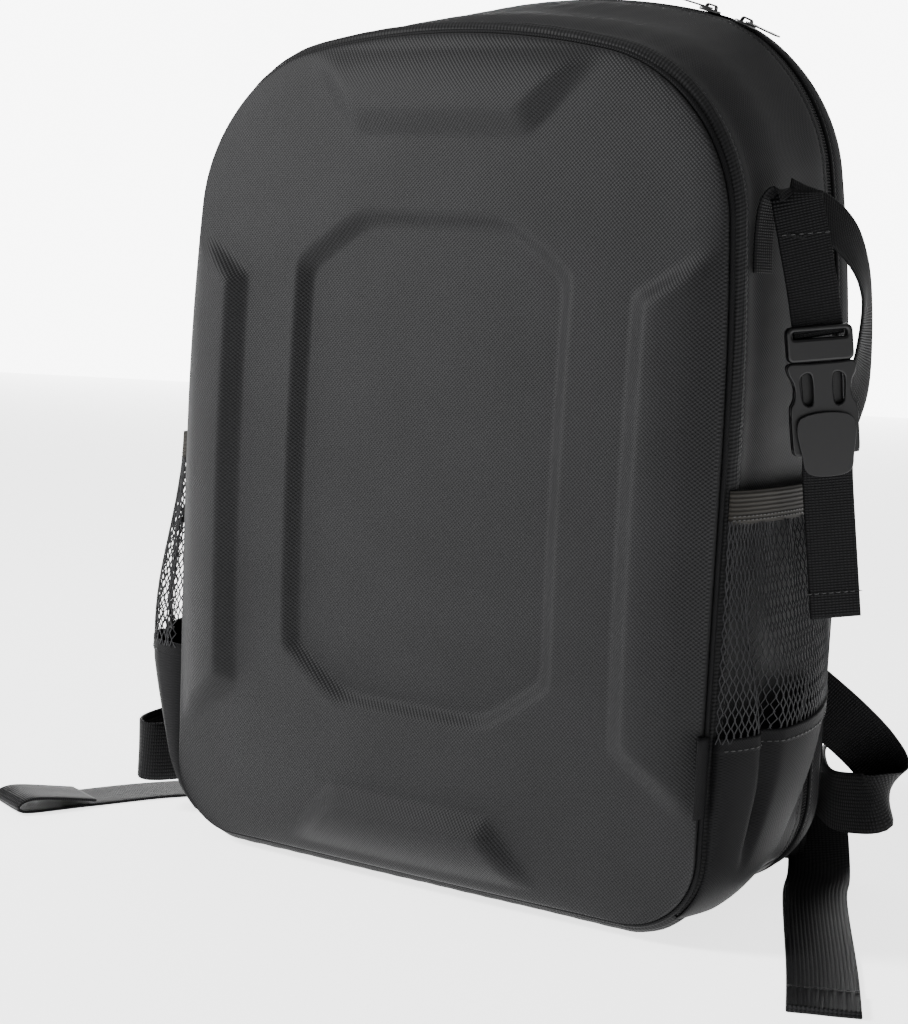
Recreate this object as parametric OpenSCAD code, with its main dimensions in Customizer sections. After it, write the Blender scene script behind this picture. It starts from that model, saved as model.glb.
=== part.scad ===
// Hard-shell backpack case for a camera drone.
// X runs across the case, the moulded shell faces -Y, Z is up, and z = 0 is the floor.
// The origin is the middle of the flat base.

/* [Case] */
// Width over the side gussets
case_w = 344; // [310:1:420]
// Height of the crown at the front seam
case_h = 467; // [430:1:560]
// How much higher the crown is at the zip
crown_up = 31; // [0:1:45]
// Depth of the gusset, from the front seam to the zip
gusset_d = 131; // [110:1:170]
// Radius of the two top corners
top_r = 84; // [70:1:100]
// Radius of the two bottom corners
bottom_r = 44; // [38:1:60]
// How much larger the bottom corners are at the zip
bottom_up = 12; // [0:1:16]
// Radius of the arched crown
crown_r = 524; // [450:1:900]
// Share of its width that the shell loses towards the crown
taper_f = 0.1; // [0:0.01:0.15]
// Share of its width that the back loses towards the crown
taper_b = 0.19; // [0:0.01:0.25]
// Wall of the padded gusset
gusset_t = 5; // [4:0.5:7]
// Distance from the base's middle to the front seam
seam_y = 74; // [60:1:90]

/* [Front shell] */
// Gap from the gusset's outline to the shell's, at the sides and crown
shell_inset = 4; // [3:0.5:8]
// How far the shell's lower edge stands off the floor
shell_lift = 9; // [7:1:14]
// Wall of the moulded EVA sheet
shell_t = 4.5; // [3:0.5:6]
// Fall of the domed face towards the sides
dome_x = 6.1; // [3:0.1:9]
// Fall of the domed face towards the crown and the foot
dome_z = 8.8; // [4:0.1:12]
// Half width of the recessed octagon
oct_x = 84.6; // [70:0.2:95]
// Half width of the octagon's top and bottom edges
oct_x2 = 46.1; // [30:0.1:60]
// Half height of the octagon
oct_z = 133.8; // [110:0.2:145]
// Half height of the octagon's upright edges
oct_z2 = 107; // [85:1:120]
// Height of the octagon's middle
oct_mid = 233.6; // [210:0.2:255]
// Depth of the octagon
oct_d = 6; // [3:0.5:8]
// Width of a moulded wall in the recess
oct_wall = 8; // [5:0.5:10]
// Height of the raised panels
boss_h = 7.5; // [4:0.5:9]
// Width of the raised panels' sloping walls
boss_wall = 14; // [9:1:18]
// Distance of the side panels' inner edge from the middle
boss_x = 122; // [112:1:132]

/* [Back door] */
// Thickness of the padded back door
door_t = 21; // [16:1:28]
// Gap between the door and the gusset, filled by the zip
zip_gap = 6; // [5:0.5:8]
// Diameter of the zip's coil
coil_d = 3; // [2.5:0.1:3.5]
// Thickness of the back's mesh pads
pad_t = 8; // [5:1:12]

/* [Inside] */
// Thickness of the lining
lining_t = 1.5; // [1:0.25:3]
// Depth of the cut foam insert
insert_d = 106; // [80:1:110]
// Foam left under the wells
floor_t = 12; // [6:1:14]
// Diameter of the drone well's middle
well_d = 168; // [140:1:190]
// Reach of the drone well's arms from its middle
arm_r = 165; // [140:1:170]
// Width of the drone well's arms
arm_w = 58; // [44:1:66]
// Height of the drone well's middle
well_z = 174; // [165:1:200]
// Width of a battery slot
cell_w = 34; // [24:1:36]
// Height of a battery slot
cell_h = 84; // [60:1:90]
// Width of the controller well
remote_w = 196; // [150:1:210]
// Height of the controller well
remote_h = 78; // [60:1:84]

/* [Side pockets] */
// Height of the pocket's elastic top
pocket_z = 238; // [215:1:270]
// Height of the elastic band
elastic_h = 17; // [12:1:25]
// Height where the mesh meets the fabric gusset
gore_z = 112; // [90:1:135]
// Height of the pocket's foot
pocket_z0 = 16; // [12:1:30]
// How far the pocket bulges out
pocket_b = 27; // [18:1:40]
// How far the elastic band stands out at its middle
elastic_b = 9; // [6:1:16]
// Thickness of the mesh and of the fabric
pocket_t = 2; // [1.6:0.2:3]

/* [Webbing] */
// Width of the shoulder straps' webbing
web_w = 36; // [30:1:40]
// Thickness of the webbing
web_t = 1.8; // [1.4:0.1:2.4]
// Width of the tripod strap's webbing
tri_w = 30; // [25:1:32]
// Width of the shoulder pads
strap_w = 66; // [50:1:70]
// Thickness of the shoulder pads
strap_t = 13; // [9:1:16]
// Length of the tripod strap from its anchor to the buckle
tri_len = 73; // [60:1:80]
// Length of the tail below the buckle
tail_len = 84; // [60:1:120]
// Thickness of the buckle
buckle_t = 9; // [8:0.5:11]

/* [Hidden] */
$fn = 40;
eps = 0.01;
y_seam = -seam_y;
y_zip = y_seam + gusset_d;
y_door = y_zip + zip_gap;
y_back = y_door + door_t;
y_face = y_seam - 21;
// an outline is [width, height, foot, top radius, bottom radius, crown radius, taper]
shl = [case_w - 2 * shell_inset, case_h - shell_inset - shell_lift, shell_lift,
    top_r - shell_inset, bottom_r - shell_inset, crown_r - shell_inset, taper_f];
gus = [case_w - 2, case_h + crown_up, 0, top_r, bottom_r + bottom_up, crown_r, taper_b];
lift_d = 34;
function mix(a, b, t) = a + (b - a) * t;
function clamp(t) = min(1, max(0, t));
// the gusset's outline at depth y: its front one, which becomes the back's at the zip
function sec(y) = let (t = clamp((y - y_seam) / (y_zip - y_seam)), k = 1 - clamp((y - y_seam) / lift_d),
        f = (shell_lift - 3) * k * k) [mix(case_w, gus[0], t), mix(case_h, gus[1], t) - f, f,
    top_r, mix(bottom_r, gus[4], t), crown_r, mix(taper_f, taper_b, t)];
black = "#1c1d1f";
cloth = "#2b2c2e";
webc = "#222326";
plastic = "#151617";

// ---- outlines and skins ----
function arc(c, r, a0, a1, n, skip = 0) =
    [for (i = [skip:n]) let (a = a0 + (a1 - a0) * i / n) [c[0] + r * cos(a), c[1] + r * sin(a)]];
function crown_a(s) = asin((s[0] / 2 - s[3]) / (s[5] - s[3]));
function crown_z(s) = s[2] + s[1] - s[5];
function corner_z(s) = crown_z(s) + (s[5] - s[3]) * cos(crown_a(s));
taper_z = 250;
function pull_in(p, k) = [for (q = p) [q[0] * (1 - k * pow(max(0, q[1] - taper_z) / taper_z, 2)), q[1]]];
function side_z(s) = concat([150, taper_z], [for (f = [0.4, 0.75]) mix(taper_z, corner_z(s), f)]);
// the outline from the foot's right end round to its left end, moved in by d
function ring(s, d) = let (b = crown_a(s), zc = corner_z(s), e = side_z(s), x = s[0] / 2) pull_in(concat(
    arc([x - s[4], s[2] + s[4]], s[4] - d, -90, 0, 6),
    [for (i = [0:3]) [x - d, e[i]]],
    arc([x - s[3], zc], s[3] - d, 0, 90 - b, 9),
    arc([0, crown_z(s)], s[5] - d, 90 - b, 90 + b, 8, 1),
    arc([s[3] - x, zc], s[3] - d, 90 + b, 180, 9, 1),
    [for (i = [3:-1:0]) [d - x, e[i]]],
    arc([s[4] - x, s[2] + s[4]], s[4] - d, 180, 270, 6)), s[6]);
function unit(v) = v / norm(v);
function vol(p, f) = [for (t = f) cross(p[t[0]], p[t[1]]) * p[t[2]]] * [for (t = f) 1];
// an end closed across from side to side, which also suits a crescent; an odd one is a fan
function cap(m, o) = m % 2 ? [for (j = [1:m - 2]) [o, o + j, o + j + 1]] :
    [for (j = [0:m / 2 - 2]) let (a = o + j, c = o + m - 2 - j) each [[a, a + 1, c], [a, c, c + 1]]];
function flip(f) = [for (t = f) [t[0], t[2], t[1]]];
// a solid through equal rows of points; each row is a closed loop
module skin(rows, closed = false) {
    n = len(rows);
    m = len(rows[0]);
    p = [for (r = rows) each r];
    side = [for (i = [0:closed ? n - 1 : n - 2], j = [0:m - 1])
        let (a = i * m + j, b = i * m + (j + 1) % m, c = ((i + 1) % n) * m + j,
            d = ((i + 1) % n) * m + (j + 1) % m) each [[a, b, d], [a, d, c]]];
    f = concat(side, closed ? [] : flip(cap(m, 0)), closed ? [] : cap(m, (n - 1) * m));
    polyhedron(p, vol(p, f) > 0 ? flip(f) : f, convexity = 8);
}
// rows of a band: prof holds [inset, y] and runs round the band's section
function band(s, prof, i0 = 0, i1 = 999) = let (r = [for (p = prof) ring(s, p[0])])
    [for (i = [i0:min(i1, len(r[0]) - 1)])
        [for (j = [0:len(prof) - 1]) [r[j][i][0], prof[j][1], r[j][i][1]]]];
// the same round the gusset, whose outline changes with depth
function gus_band(prof, i0 = 0, i1 = 999) = let (r = [for (p = prof) ring(sec(p[1]), p[0])])
    [for (i = [i0:min(i1, len(r[0]) - 1)])
        [for (j = [0:len(prof) - 1]) [r[j][i][0], prof[j][1], r[j][i][1]]]];
// rows of a slab: each [inset, y] is one outline
function slab(s, prof) = [for (p = prof) [for (q = ring(s, p[0])) [q[0], p[1], q[1]]]];
module plate(s, d, y0, y1) {
    translate([0, y1, 0]) rotate([90, 0, 0]) linear_extrude(y1 - y0) polygon(ring(s, d));
}
module plate_ring(s, d0, d1, y0, y1) {
    translate([0, y1, 0]) rotate([90, 0, 0]) linear_extrude(y1 - y0) difference() {
        polygon(ring(s, d0));
        polygon(ring(s, d1));
    }
}
module rounded(w, h, r) {
    for (x = [-1, 1], y = [-1, 1]) translate([x * (w / 2 - r), y * (h / 2 - r)]) circle(r);
    square([w - 2 * r, h], center = true);
    square([w, h - 2 * r], center = true);
}
// a panel with round corners in the XZ plane, from y0 back to y1
module panel(x, z, w, h, r, y0, y1) {
    translate([x, y1, z]) rotate([90, 0, 0]) linear_extrude(y1 - y0) rounded(w, h, r);
}
// Catmull-Rom through [point, width direction] stations
function cr(a, b, c, d, t) = 0.5 * (2 * b + (c - a) * t + (2 * a - 5 * b + 4 * c - d) * t * t
    + (3 * b - a - 3 * c + d) * t * t * t);
function at(s, i, k) = s[max(0, min(len(s) - 1, i))][k];
function smooth(s, n) = [for (i = [0:len(s) - 2], j = [0:(i == len(s) - 2 ? n : n - 1)])
    [for (k = [0, 1]) cr(at(s, i - 1, k), at(s, i, k), at(s, i + 1, k), at(s, i + 2, k), j / n)]];
function tangent(s, i) = unit(at(s, i + 1, 0) - at(s, i - 1, 0));
function ribbon_rows(s, w, t, taper = []) = [for (i = [0:len(s) - 1]) let (
        v = tangent(s, i), n = unit(cross(v, s[i][1])), u = unit(cross(n, v)),
        k = (len(taper) > i ? taper[i] : 1) * w / 2)
    [s[i][0] - u * k - n * t / 2, s[i][0] + u * k - n * t / 2,
     s[i][0] + u * k + n * t / 2, s[i][0] - u * k + n * t / 2]];
module ribbon(s, w, t, n = 4) skin(ribbon_rows(smooth(s, n), w, t));

// ---- front shell ----
function dome(x, z) = dome_x * pow(x / 126, 2) + dome_z * pow((z - oct_mid) / 189, 2);
// insets and extra depth from the seam over the rim
rim = [[0, 1], [0.6, 0.62], [2.5, 0.32], [6, 0.12], [11, 0.03], [18, 0]];
y_flat = y_face + 2.5;
// a ring of the domed face between its flat middle and its rim
function face_ring(f, t) = [for (q = ring(shl, 18 + t)) [q[0] * mix((oct_x + 18) / 150, 1, f),
    oct_mid + (q[1] - oct_mid) * mix((oct_z + 20) / 205, 1, f)]];
function face_row(p, k, t) = [for (q = p) let (yd = min(y_face + dome(q[0], q[1]) + t, y_seam - 2))
    [q[0], yd + k * (y_seam - 2 - yd), q[1]]];
module face_solid(t) {
    skin(concat([[for (q = ring(shl, t)) [q[0], y_seam + (t > 0 ? 1 : 0), q[1]]]],
        [for (r = rim) face_row(ring(shl, r[0] + t), r[1], t)],
        [face_row(face_ring(0.8, t), 0, t)],
        [[for (q = face_ring(0, t)) [q[0], y_flat + t, q[1]]]]));
}
function octagon(g) = let (k = g * 0.45) [for (p = [[oct_x2 + k, oct_z + g], [oct_x + g, oct_z2 + k],
    [oct_x + g, -oct_z2 - k], [oct_x2 + k, -oct_z - g], [-oct_x2 - k, -oct_z - g],
    [-oct_x - g, -oct_z2 - k], [-oct_x - g, oct_z2 + k], [-oct_x2 - k, oct_z + g]]) p];
module oct_cut(t) {
    skin([for (r = [[y_flat - 8, oct_wall * 1.3 - t * 0.3], [y_flat + oct_d + t, t * 0.7 - oct_wall]])
        [for (p = octagon(r[1] + t * 0.3)) [p[0], r[0], oct_mid + p[1]]]]);
}
// a raised panel: foot corners and top corners as [x, z, height over the face]
module boss(foot, top) {
    f = [for (p = foot) [p[0], min(y_face + dome(p[0], p[1]) + 5, y_seam - 3), p[1]]];
    g = [for (p = top) [p[0], y_face + dome(p[0], p[1]) - p[2], p[1]]];
    skin([f, g]);
}
module side_boss() {
    z0 = oct_mid - 136;
    z1 = oct_mid + 101;
    x = boss_x - 3;
    xe = case_w / 2 - 8;
    boss([[x, z0 + 2], [x, z1 - 2], [xe, z1 + 28], [xe, z0 - 32]],
        [[x + boss_wall + 3, z0 + 9, boss_h], [x + boss_wall + 3, z1 - 9, boss_h],
         [xe, z1 + 12, -0.5], [xe, z0 - 16, -0.5]]);
}
module crown_boss() {
    zf = oct_mid + 178;
    zt = shl[1] + shl[2] - 12;
    boss([[-53, zf - 3], [53, zf - 3], [92, zt], [-92, zt]],
        [[-46, zf + 18, boss_h - 1], [46, zf + 18, boss_h - 1], [66, zt - 1, 0.5],
         [-66, zt - 1, 0.5]]);
}
module foot_boss() {
    zf = oct_mid - 181.6;
    zt = shl[2] + 12;
    boss([[-51.6, zf + 3], [51.6, zf + 3], [80, zt], [-80, zt]],
        [[-46, zf - 18, boss_h - 1], [46, zf - 18, boss_h - 1], [60, zt + 1, 0.5],
         [-60, zt + 1, 0.5]]);
}
module front_shell() color(cloth) difference() {
    union() {
        face_solid(0);
        side_boss();
        mirror([1, 0, 0]) side_boss();
        crown_boss();
        foot_boss();
    }
    oct_cut(0);
    difference() {
        face_solid(shell_t);
        oct_cut(shell_t);
    }
}
module front_piping() color(black) skin(band(shl, [[0, y_seam], [-1.6, y_seam + 0.6],
    [-2.2, y_seam + 2], [-1.6, y_seam + 3.4], [0, y_seam + 4], [5, y_seam + 4], [5, y_seam]]), true);

// ---- gusset, base and lining ----
gus_prof = [[5, y_seam + 4], [1.6, y_seam + 6], [0.4, y_seam + 9], [0, y_seam + 14], [0, y_seam + 24],
    [0, y_seam + lift_d], [0, y_zip], [gusset_t, y_zip], [gusset_t, y_seam + lift_d],
    [gusset_t, y_seam + 14], [gusset_t + 1, y_seam + 4]];
n_ring = len(ring(gus, 0));
module gusset() color(cloth) skin(gus_band(gus_prof, 3, n_ring - 4));
base_rows = let (b = gus_band(gus_prof)) concat([for (i = [n_ring - 4:n_ring - 1]) b[i]],
    [for (i = [0:3]) b[i]]);
module base_panel() color(black) skin(base_rows);
module gusset_lining() color("#3a3b3d") skin(gus_band([for (q = [[0, 1], [0, 0], [1, 0], [1, 1]])
    [gusset_t + 1.6 + q[0] * lining_t, mix(y_seam + lift_d, y_zip - 1, q[1])]]), true);
module hinge_strip() color(black)
    translate([-gus[0] / 2 + gus[4] + 6, y_zip, 0.5])
        cube([gus[0] - 2 * gus[4] - 12, zip_gap - 0.4, 1.2]);

// ---- zip ----
// half of the zip, from its tape's sewn edge to its coil at y1, as one section
module zip_half(y0, y1) {
    yc = y1 - 1.8 * sign(y1 - y0);
    c = 3 - coil_d / 2;
    skin(band(gus, [[3, y0], [3, yc], [c, yc], [c, y1], [4.4, y1], [4.4, y0]]));
}
y_mid = y_zip + zip_gap / 2;
module zip_case() color(plastic) zip_half(y_zip, y_mid - 0.2);
module zip_door() color(plastic) zip_half(y_door, y_mid + 0.2);
// the run of the zip over the right corner and over the crown, each as an arc through three of its points
zip_path = ring(gus, 0);
function centre3(a, b, c) = let (d = 2 * (a[0] * (b[1] - c[1]) + b[0] * (c[1] - a[1]) + c[0] * (a[1] - b[1])),
        u = a * a, v = b * b, w = c * c)
    [(u * (b[1] - c[1]) + v * (c[1] - a[1]) + w * (a[1] - b[1])) / d,
     (u * (c[0] - b[0]) + v * (a[0] - c[0]) + w * (b[0] - a[0])) / d];
corner_q = centre3(zip_path[13], zip_path[16], zip_path[19]);
crown_q = centre3(zip_path[20], zip_path[24], zip_path[28]);
module slider_body() color("#2a2a2b") {
    difference() {
        translate([-5, -4.6, 0.4]) cube([10, 9.2, 1.8]);
        translate([-6, -0.8, -1]) cube([12, 1.6, 1.6]);
    }
    for (x = [-2.9, 2.9]) translate([x - 0.7, -1.6, 2.2 - eps]) cube([1.4, 3.2, 1.6]);
    translate([-3.6, -1.6, 3.6]) cube([7.2, 3.2, 1]);
}
module pull_tab() color("#202021") {
    difference() {
        translate([-0.45, -4, -0.45]) cube([22, 8, 0.9]);
        translate([0.45, -2.4, -2]) cube([7, 4.8, 4]);
        translate([17, 0, -2]) cylinder(d = 3, h = 4);
    }
}

// a slider rides the tape at an angle on an arc; its chain runs along local X
module on_arc(c, r, a) translate([c[0] + r * cos(a), y_mid, c[1] + r * sin(a)])
    rotate([0, 90 - a, 0]) children();
corner_run = norm(zip_path[16] - corner_q) + 0.4;
crown_run = norm(zip_path[24] - crown_q) + 0.2;
slide_r = 62;
slide_l = 77;
pull_h = 2.9;
module slider_r() on_arc(corner_q, corner_run, slide_r) slider_body();
module slider_l() on_arc(crown_q, crown_run, slide_l) slider_body();
module pull_r() on_arc(corner_q, corner_run, slide_r) translate([0, 0, pull_h]) pull_tab();
module pull_l() on_arc(crown_q, crown_run, slide_l) translate([0, 0, pull_h])
    mirror([1, 0, 0]) pull_tab();

// ---- foam ----
tray = gusset_t + lining_t + 2;
tray_s = [case_w - 2, case_h - shell_lift + 2, shell_lift - 2, top_r, gus[4], crown_r, taper_b];
y_tray = y_zip - 3;
module foam_floor() color("#303133") plate(tray_s, tray, y_tray - insert_d - floor_t, y_tray - insert_d);
module well() {
    circle(d = well_d);
    for (a = [45:90:315]) rotate(a) translate([arm_r / 2, 0]) {
        square([arm_r - arm_w, arm_w], center = true);
        translate([arm_r / 2 - arm_w / 2, 0]) circle(d = arm_w);
    }
}
remote_z = well_z + arm_r * 0.7071 + 38 + remote_h / 2;
cell_x = case_w / 2 - tray - 12 - cell_w / 2;
module foam_insert() color("#26272a") translate([0, y_tray, 0]) rotate([90, 0, 0])
    linear_extrude(insert_d) difference() {
        polygon(ring(tray_s, tray));
        translate([0, well_z]) well();
        translate([0, remote_z]) rounded(remote_w, remote_h, 16);
        for (x = [-1, 1]) translate([x * cell_x, well_z]) rounded(cell_w, cell_h, 5);
    }
module side_tag() color("#131314")
    translate([shl[0] / 2 + 2.4, y_seam - 1.5, 76]) cube([1.2, 3.6, 42]);

// ---- side pockets ----
y_pocket = [y_seam + 7, y_zip - 3];
pocket_tilt = 16;
function bulge(z) = z > pocket_z - elastic_h ? elastic_b :
    z > gore_z ? let (k = (z - gore_z) / (pocket_z - elastic_h - gore_z))
        elastic_b + (pocket_b - elastic_b) * (1 - k * k * (2.2 - 1.2 * k)) :
    let (k = (z - pocket_z0) / (gore_z - pocket_z0)) 3 + (pocket_b - 3) * sin(90 * k);
function tilt(z) = z < gore_z ? (z - pocket_z0) / (gore_z - pocket_z0) :
    1 - clamp((z - gore_z) / (pocket_z - elastic_h - gore_z));
// one level of a pocket's wall: out over the bulge and back inside it
function pocket_row(z) = let (b = bulge(z), n = 12, x0 = case_w / 2 + 0.2, e = pocket_tilt * tilt(z),
        k = z < gore_z ? (z - pocket_z0) / (gore_z - pocket_z0) : 1,
        ya = y_pocket[0], yb = y_pocket[1] - 50 * (1 - k),
        f = function (t) pow(max(0, sin(180 * t)), 0.55)) concat(
    [for (i = [0:n]) let (t = i / n) [x0 + 0.5 + b * f(t), ya + (yb - ya) * t, z + e * t]],
    [for (i = [n:-1:0]) let (t = i / n) [x0 + max(0, (b + 0.5) * f(t) - pocket_t),
        ya + 1.2 + (yb - ya - 2.4) * t, z + e * t]]);
module pocket(z0, z1, n) skin([for (i = [0:n]) pocket_row(z0 + (z1 - z0) * i / n)]);
module pocket_elastic_r() color("#4a4743") pocket(pocket_z - elastic_h + 0.1, pocket_z, 1);
module pocket_mesh_r() color("#3b3c3e") pocket(gore_z + 0.1, pocket_z - elastic_h, 6);
module pocket_gore_r() color(black) pocket(pocket_z0, gore_z, 5);
module pocket_elastic_l() mirror([1, 0, 0]) pocket_elastic_r();
module pocket_mesh_l() mirror([1, 0, 0]) pocket_mesh_r();
module pocket_gore_l() mirror([1, 0, 0]) pocket_gore_r();

// ---- back door ----
module back_panel() color(cloth) skin(slab(gus, [[0, y_door], [0, y_back - 7], [1.2, y_back - 3.6],
    [3.6, y_back - 1.2], [7, y_back]]));
module door_lining() color("#3a3b3d") plate(gus, gusset_t + 5, y_door - 1.2, y_door);
module lid_pocket() color("#36373a") panel(0, well_z + 40, 250, 190, 14, y_door - 3.4, y_door - 1.2);
module back_pad_r() color("#37383b") panel(62, 268, 92, 190, 26, y_back, y_back + pad_t);
module back_pad_l() mirror([1, 0, 0]) back_pad_r();
module lumbar_pad() color("#37383b") panel(0, 98, 216, 96, 26, y_back, y_back + pad_t);
yoke_z = case_h - 33;
module strap_yoke() color(webc) panel(0, yoke_z, 216, 36, 8, y_back, y_back + 3);
tab_z = 128;
module web_tab_r() color(black) translate([case_w / 2 - 34, y_back, 0]) rotate([90, 0, 0])
    mirror([0, 0, 1]) linear_extrude(3.2)
    polygon([[0, tab_z - 30], [26, tab_z - 24], [26, tab_z + 18], [0, tab_z + 44]]);
module web_tab_l() mirror([1, 0, 0]) web_tab_r();

// ---- shoulder straps ----
y_hang = y_back + pad_t + strap_t / 2 + 1.5;
strap_path = [[[76, y_hang - 3, yoke_z - 6], [1, 0, 0.04]], [[79, y_hang + 5, 350], [1, 0, 0.08]],
    [[93, y_hang + 7, 262], [1, 0, 0.22]], [[112, y_hang + 8, 168], [1, 0, 0.18]],
    [[121, y_hang + 10, 84], [1, 0, 0.05]], [[126, y_hang + 15, 5], [1, 0.1, 0]]];
taper = concat([for (i = [0:14]) 0.86 + 0.14 * min(1, i / 6)], [for (i = [0:5]) 1 - 0.035 * i * i]);
module strap_pad_r() color(black) skin(ribbon_rows(smooth(strap_path, 4), strap_w, strap_t, taper));
module strap_pad_l() mirror([1, 0, 0]) strap_pad_r();
lock_o = [125, y_hang + 27, 74];
module lock_place() translate(lock_o) rotate([0, 0, 18]) rotate([-72, 0, 0]) children();
module ladder_lock_r() color(plastic) lock_place() translate([0, 0, -2.5])
    linear_extrude(5) difference() {
        translate([0, 21]) rounded(web_w + 12, 34, 4);
        for (y = [11, 20.5, 30]) translate([0, y]) square([web_w + 2, 5], center = true);
    }
module lock_tab_r() color(webc) lock_place() {
    translate([-web_w / 2, 10.2, -3.6]) cube([web_w, 1.6, 7.2]);
    translate([-web_w / 2, -22, -3.6 - 1.6]) cube([web_w, 33.8, 1.6]);
}
module lock_tab_l() mirror([1, 0, 0]) lock_tab_r();
module ladder_lock_l() mirror([1, 0, 0]) ladder_lock_r();

// ---- lower webbing, from its tab round the fold to the ladder lock, and its tail ----
web_r = [[[case_w / 2 - 12, y_back + 6, tab_z], [0.5, 0.1, 0.85]],
    [[176, y_back + 16, 104], [0.75, 0, 0.66]], [[191, y_back + 24, 80], [0.7, -0.1, 0.7]],
    [[203, y_back + 20, 64], [0.35, -0.1, 0.93]], [[200, y_back + 10, 54], [0.05, -0.1, 1]],
    [[184, y_back + 10, 50], [-0.1, -0.1, 1]], [[168, y_back + 16, 48], [-0.1, -0.1, 1]]];
tail_r = [[[166.5, y_back + 14, 1.6], [0.93, 0.37, 0]], [[181, y_back - 26, 1.2], [0.93, 0.37, 0]],
    [[231, -52, 1.2], [0.92, 0.39, 0]], [[257, -112, 1.2], [0.92, 0.39, 0]]];
riser = [[[137, y_back + 60, 44], [0.95, 0.3, 0]], [[146, y_back + 55, 24], [0.94, 0.33, 0]],
    [[156, y_back + 38, 9], [0.93, 0.36, 0]], [[164.5, y_back + 19, 3.4], [0.93, 0.37, 0]]];
module web_riser_r() color(webc) ribbon(riser, web_w, web_t);
module web_riser_l() mirror([1, 0, 0]) web_riser_r();
module lower_web_r() color(webc) {
    ribbon(web_r, web_w, web_t);
    ribbon(tail_r, web_w, web_t);
    hem = [for (k = [0, 1]) [[231 + 13 * (1 + k) - 2, -52 - 30 * (1 + k) + 4, 2.9], [0.92, 0.39, 0]]];
    ribbon(hem, web_w, web_t, 1);
}
web_l = [[[-case_w / 2 + 10, y_back + 6, 92], [-0.2, 0.1, 0.9]],
    [[-187, y_back + 2, 72], [-0.2, 0, 0.97]], [[-209, 44, 50], [-0.05, 0, 1]],
    [[-226, 0, 42], [0, 0, 1]], [[-227, -38, 39], [0, 0, 1]], [[-215, -51, 38], [0, 0, 1]],
    [[-204, -34, 37], [0, 0, 1]], [[-202.5, 12, 34], [0, 0, 1]], [[-201, 62, 31], [0, 0, 1]],
    [[-186, y_back + 15, 32], [0, 0, 1]]];
tail_l = [[[-166.5, y_back + 14, 1.6], [0.93, -0.37, 0]], [[-182, y_back - 26, 1.2], [0.93, -0.37, 0]],
    [[-214, 26, 1.2], [0.93, -0.37, 0]], [[-240, -12, 1.2], [0.93, -0.37, 0]],
    [[-262, -62, 1.2], [0.92, -0.39, 0]],
    [[-276, -97, 1.4], [0.92, -0.39, 0]], [[-278.4, -103, 5.4], [0.92, -0.39, 0]],
    [[-274, -92, 9.2], [0.92, -0.39, 0]], [[-259, -56, 4], [0.92, -0.39, 0]]];
module lower_web_l() color(webc) {
    ribbon(web_l, web_w, web_t);
    ribbon(tail_l, web_w, web_t);
}

// ---- grab handle ----
handle_z = yoke_z + 4;
module grab_handle() color(webc) {
    p = [[[-34, y_back + 13, handle_z], [0, 1, 0]], [[-32, y_back + 13, handle_z - 14], [0, 1, 0]],
        [[-20, y_back + 13, handle_z - 27], [0, 1, 0]], [[0, y_back + 13, handle_z - 31], [0, 1, 0]],
        [[20, y_back + 13, handle_z - 27], [0, 1, 0]], [[32, y_back + 13, handle_z - 14], [0, 1, 0]],
        [[34, y_back + 13, handle_z], [0, 1, 0]]];
    ribbon(p, 18, 3, 3);
}
module handle_tabs() color(webc) for (s = [-1, 1])
    translate([s * 39.2 - 3, y_back + 3, handle_z - 8]) cube([6, 15, 14]);

// ---- tripod strap with its buckle, built hanging down -Z with its face to -Y ----
tri_o = [case_w / 2 + 5, -44, 384];
tri_a = 32;
tri_lean = 7.5;
module tri_place() translate(tri_o) rotate([0, 0, tri_a]) rotate([0, -tri_lean, 0]) children();
// the gusset's half width at depth y and height z
function side_x(y, z) = let (r = ring(sec(y), 0)) lookup(z, [for (i = [5:18]) [r[i][1], r[i][0]]]);
module tripod_anchor() color(webc) translate([0, tri_o[1] - 6, 0]) rotate([90, 0, 0])
    linear_extrude(16) polygon([for (z = [364, 376, 388]) [side_x(tri_o[1] - 14, z) + 0.4, z],
        [tri_o[0] - 2.6, 388], [tri_o[0] - 2.6, 364]]);
module tripod_strap() color(webc) tri_place()
    translate([2, -web_t / 2, -tri_len]) cube([tri_w, web_t, tri_len + 4]);
module tripod_return() color(webc) tri_place() {
    r = [[[18, 2.8, 1], [1, 0, 0]], [[23, 7, 5], [1, 0.2, 0]], [[37, 20, 0], [0.85, 0.5, 0.1]],
        [[46, 31, -38], [0.65, 0.75, 0.1]], [[46, 32, -80], [0.7, 0.7, 0]],
        [[35, 25, -108], [0.9, 0.4, 0]], [[20, 15.5, -120], [1, 0.1, 0]]];
    ribbon(r, tri_w, web_t);
}
buckle_w = tri_w + 9;
female_l = 46;
slot_z = 33;
module buckle_male() color(plastic) tri_place() translate([17, 0, -tri_len]) {
    difference() {
        translate([-buckle_w / 2, -buckle_t / 2, -14]) cube([buckle_w, buckle_t, 18]);
        translate([-tri_w / 2 - 0.6, -buckle_t, -2]) cube([tri_w + 1.2, 2 * buckle_t, 3.4]);
        translate([-tri_w / 2 - 0.6, -1.2, 0]) cube([tri_w + 1.2, 2.4, 5]);
    }
    for (s = [-1, 1]) translate([s * 13 - 2.2, -2.2, -14 - 24]) cube([4.4, 4.4, 24 + eps]);
    translate([-1.6, -1.6, -14 - 20]) cube([3.2, 3.2, 20 + eps]);
}
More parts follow.
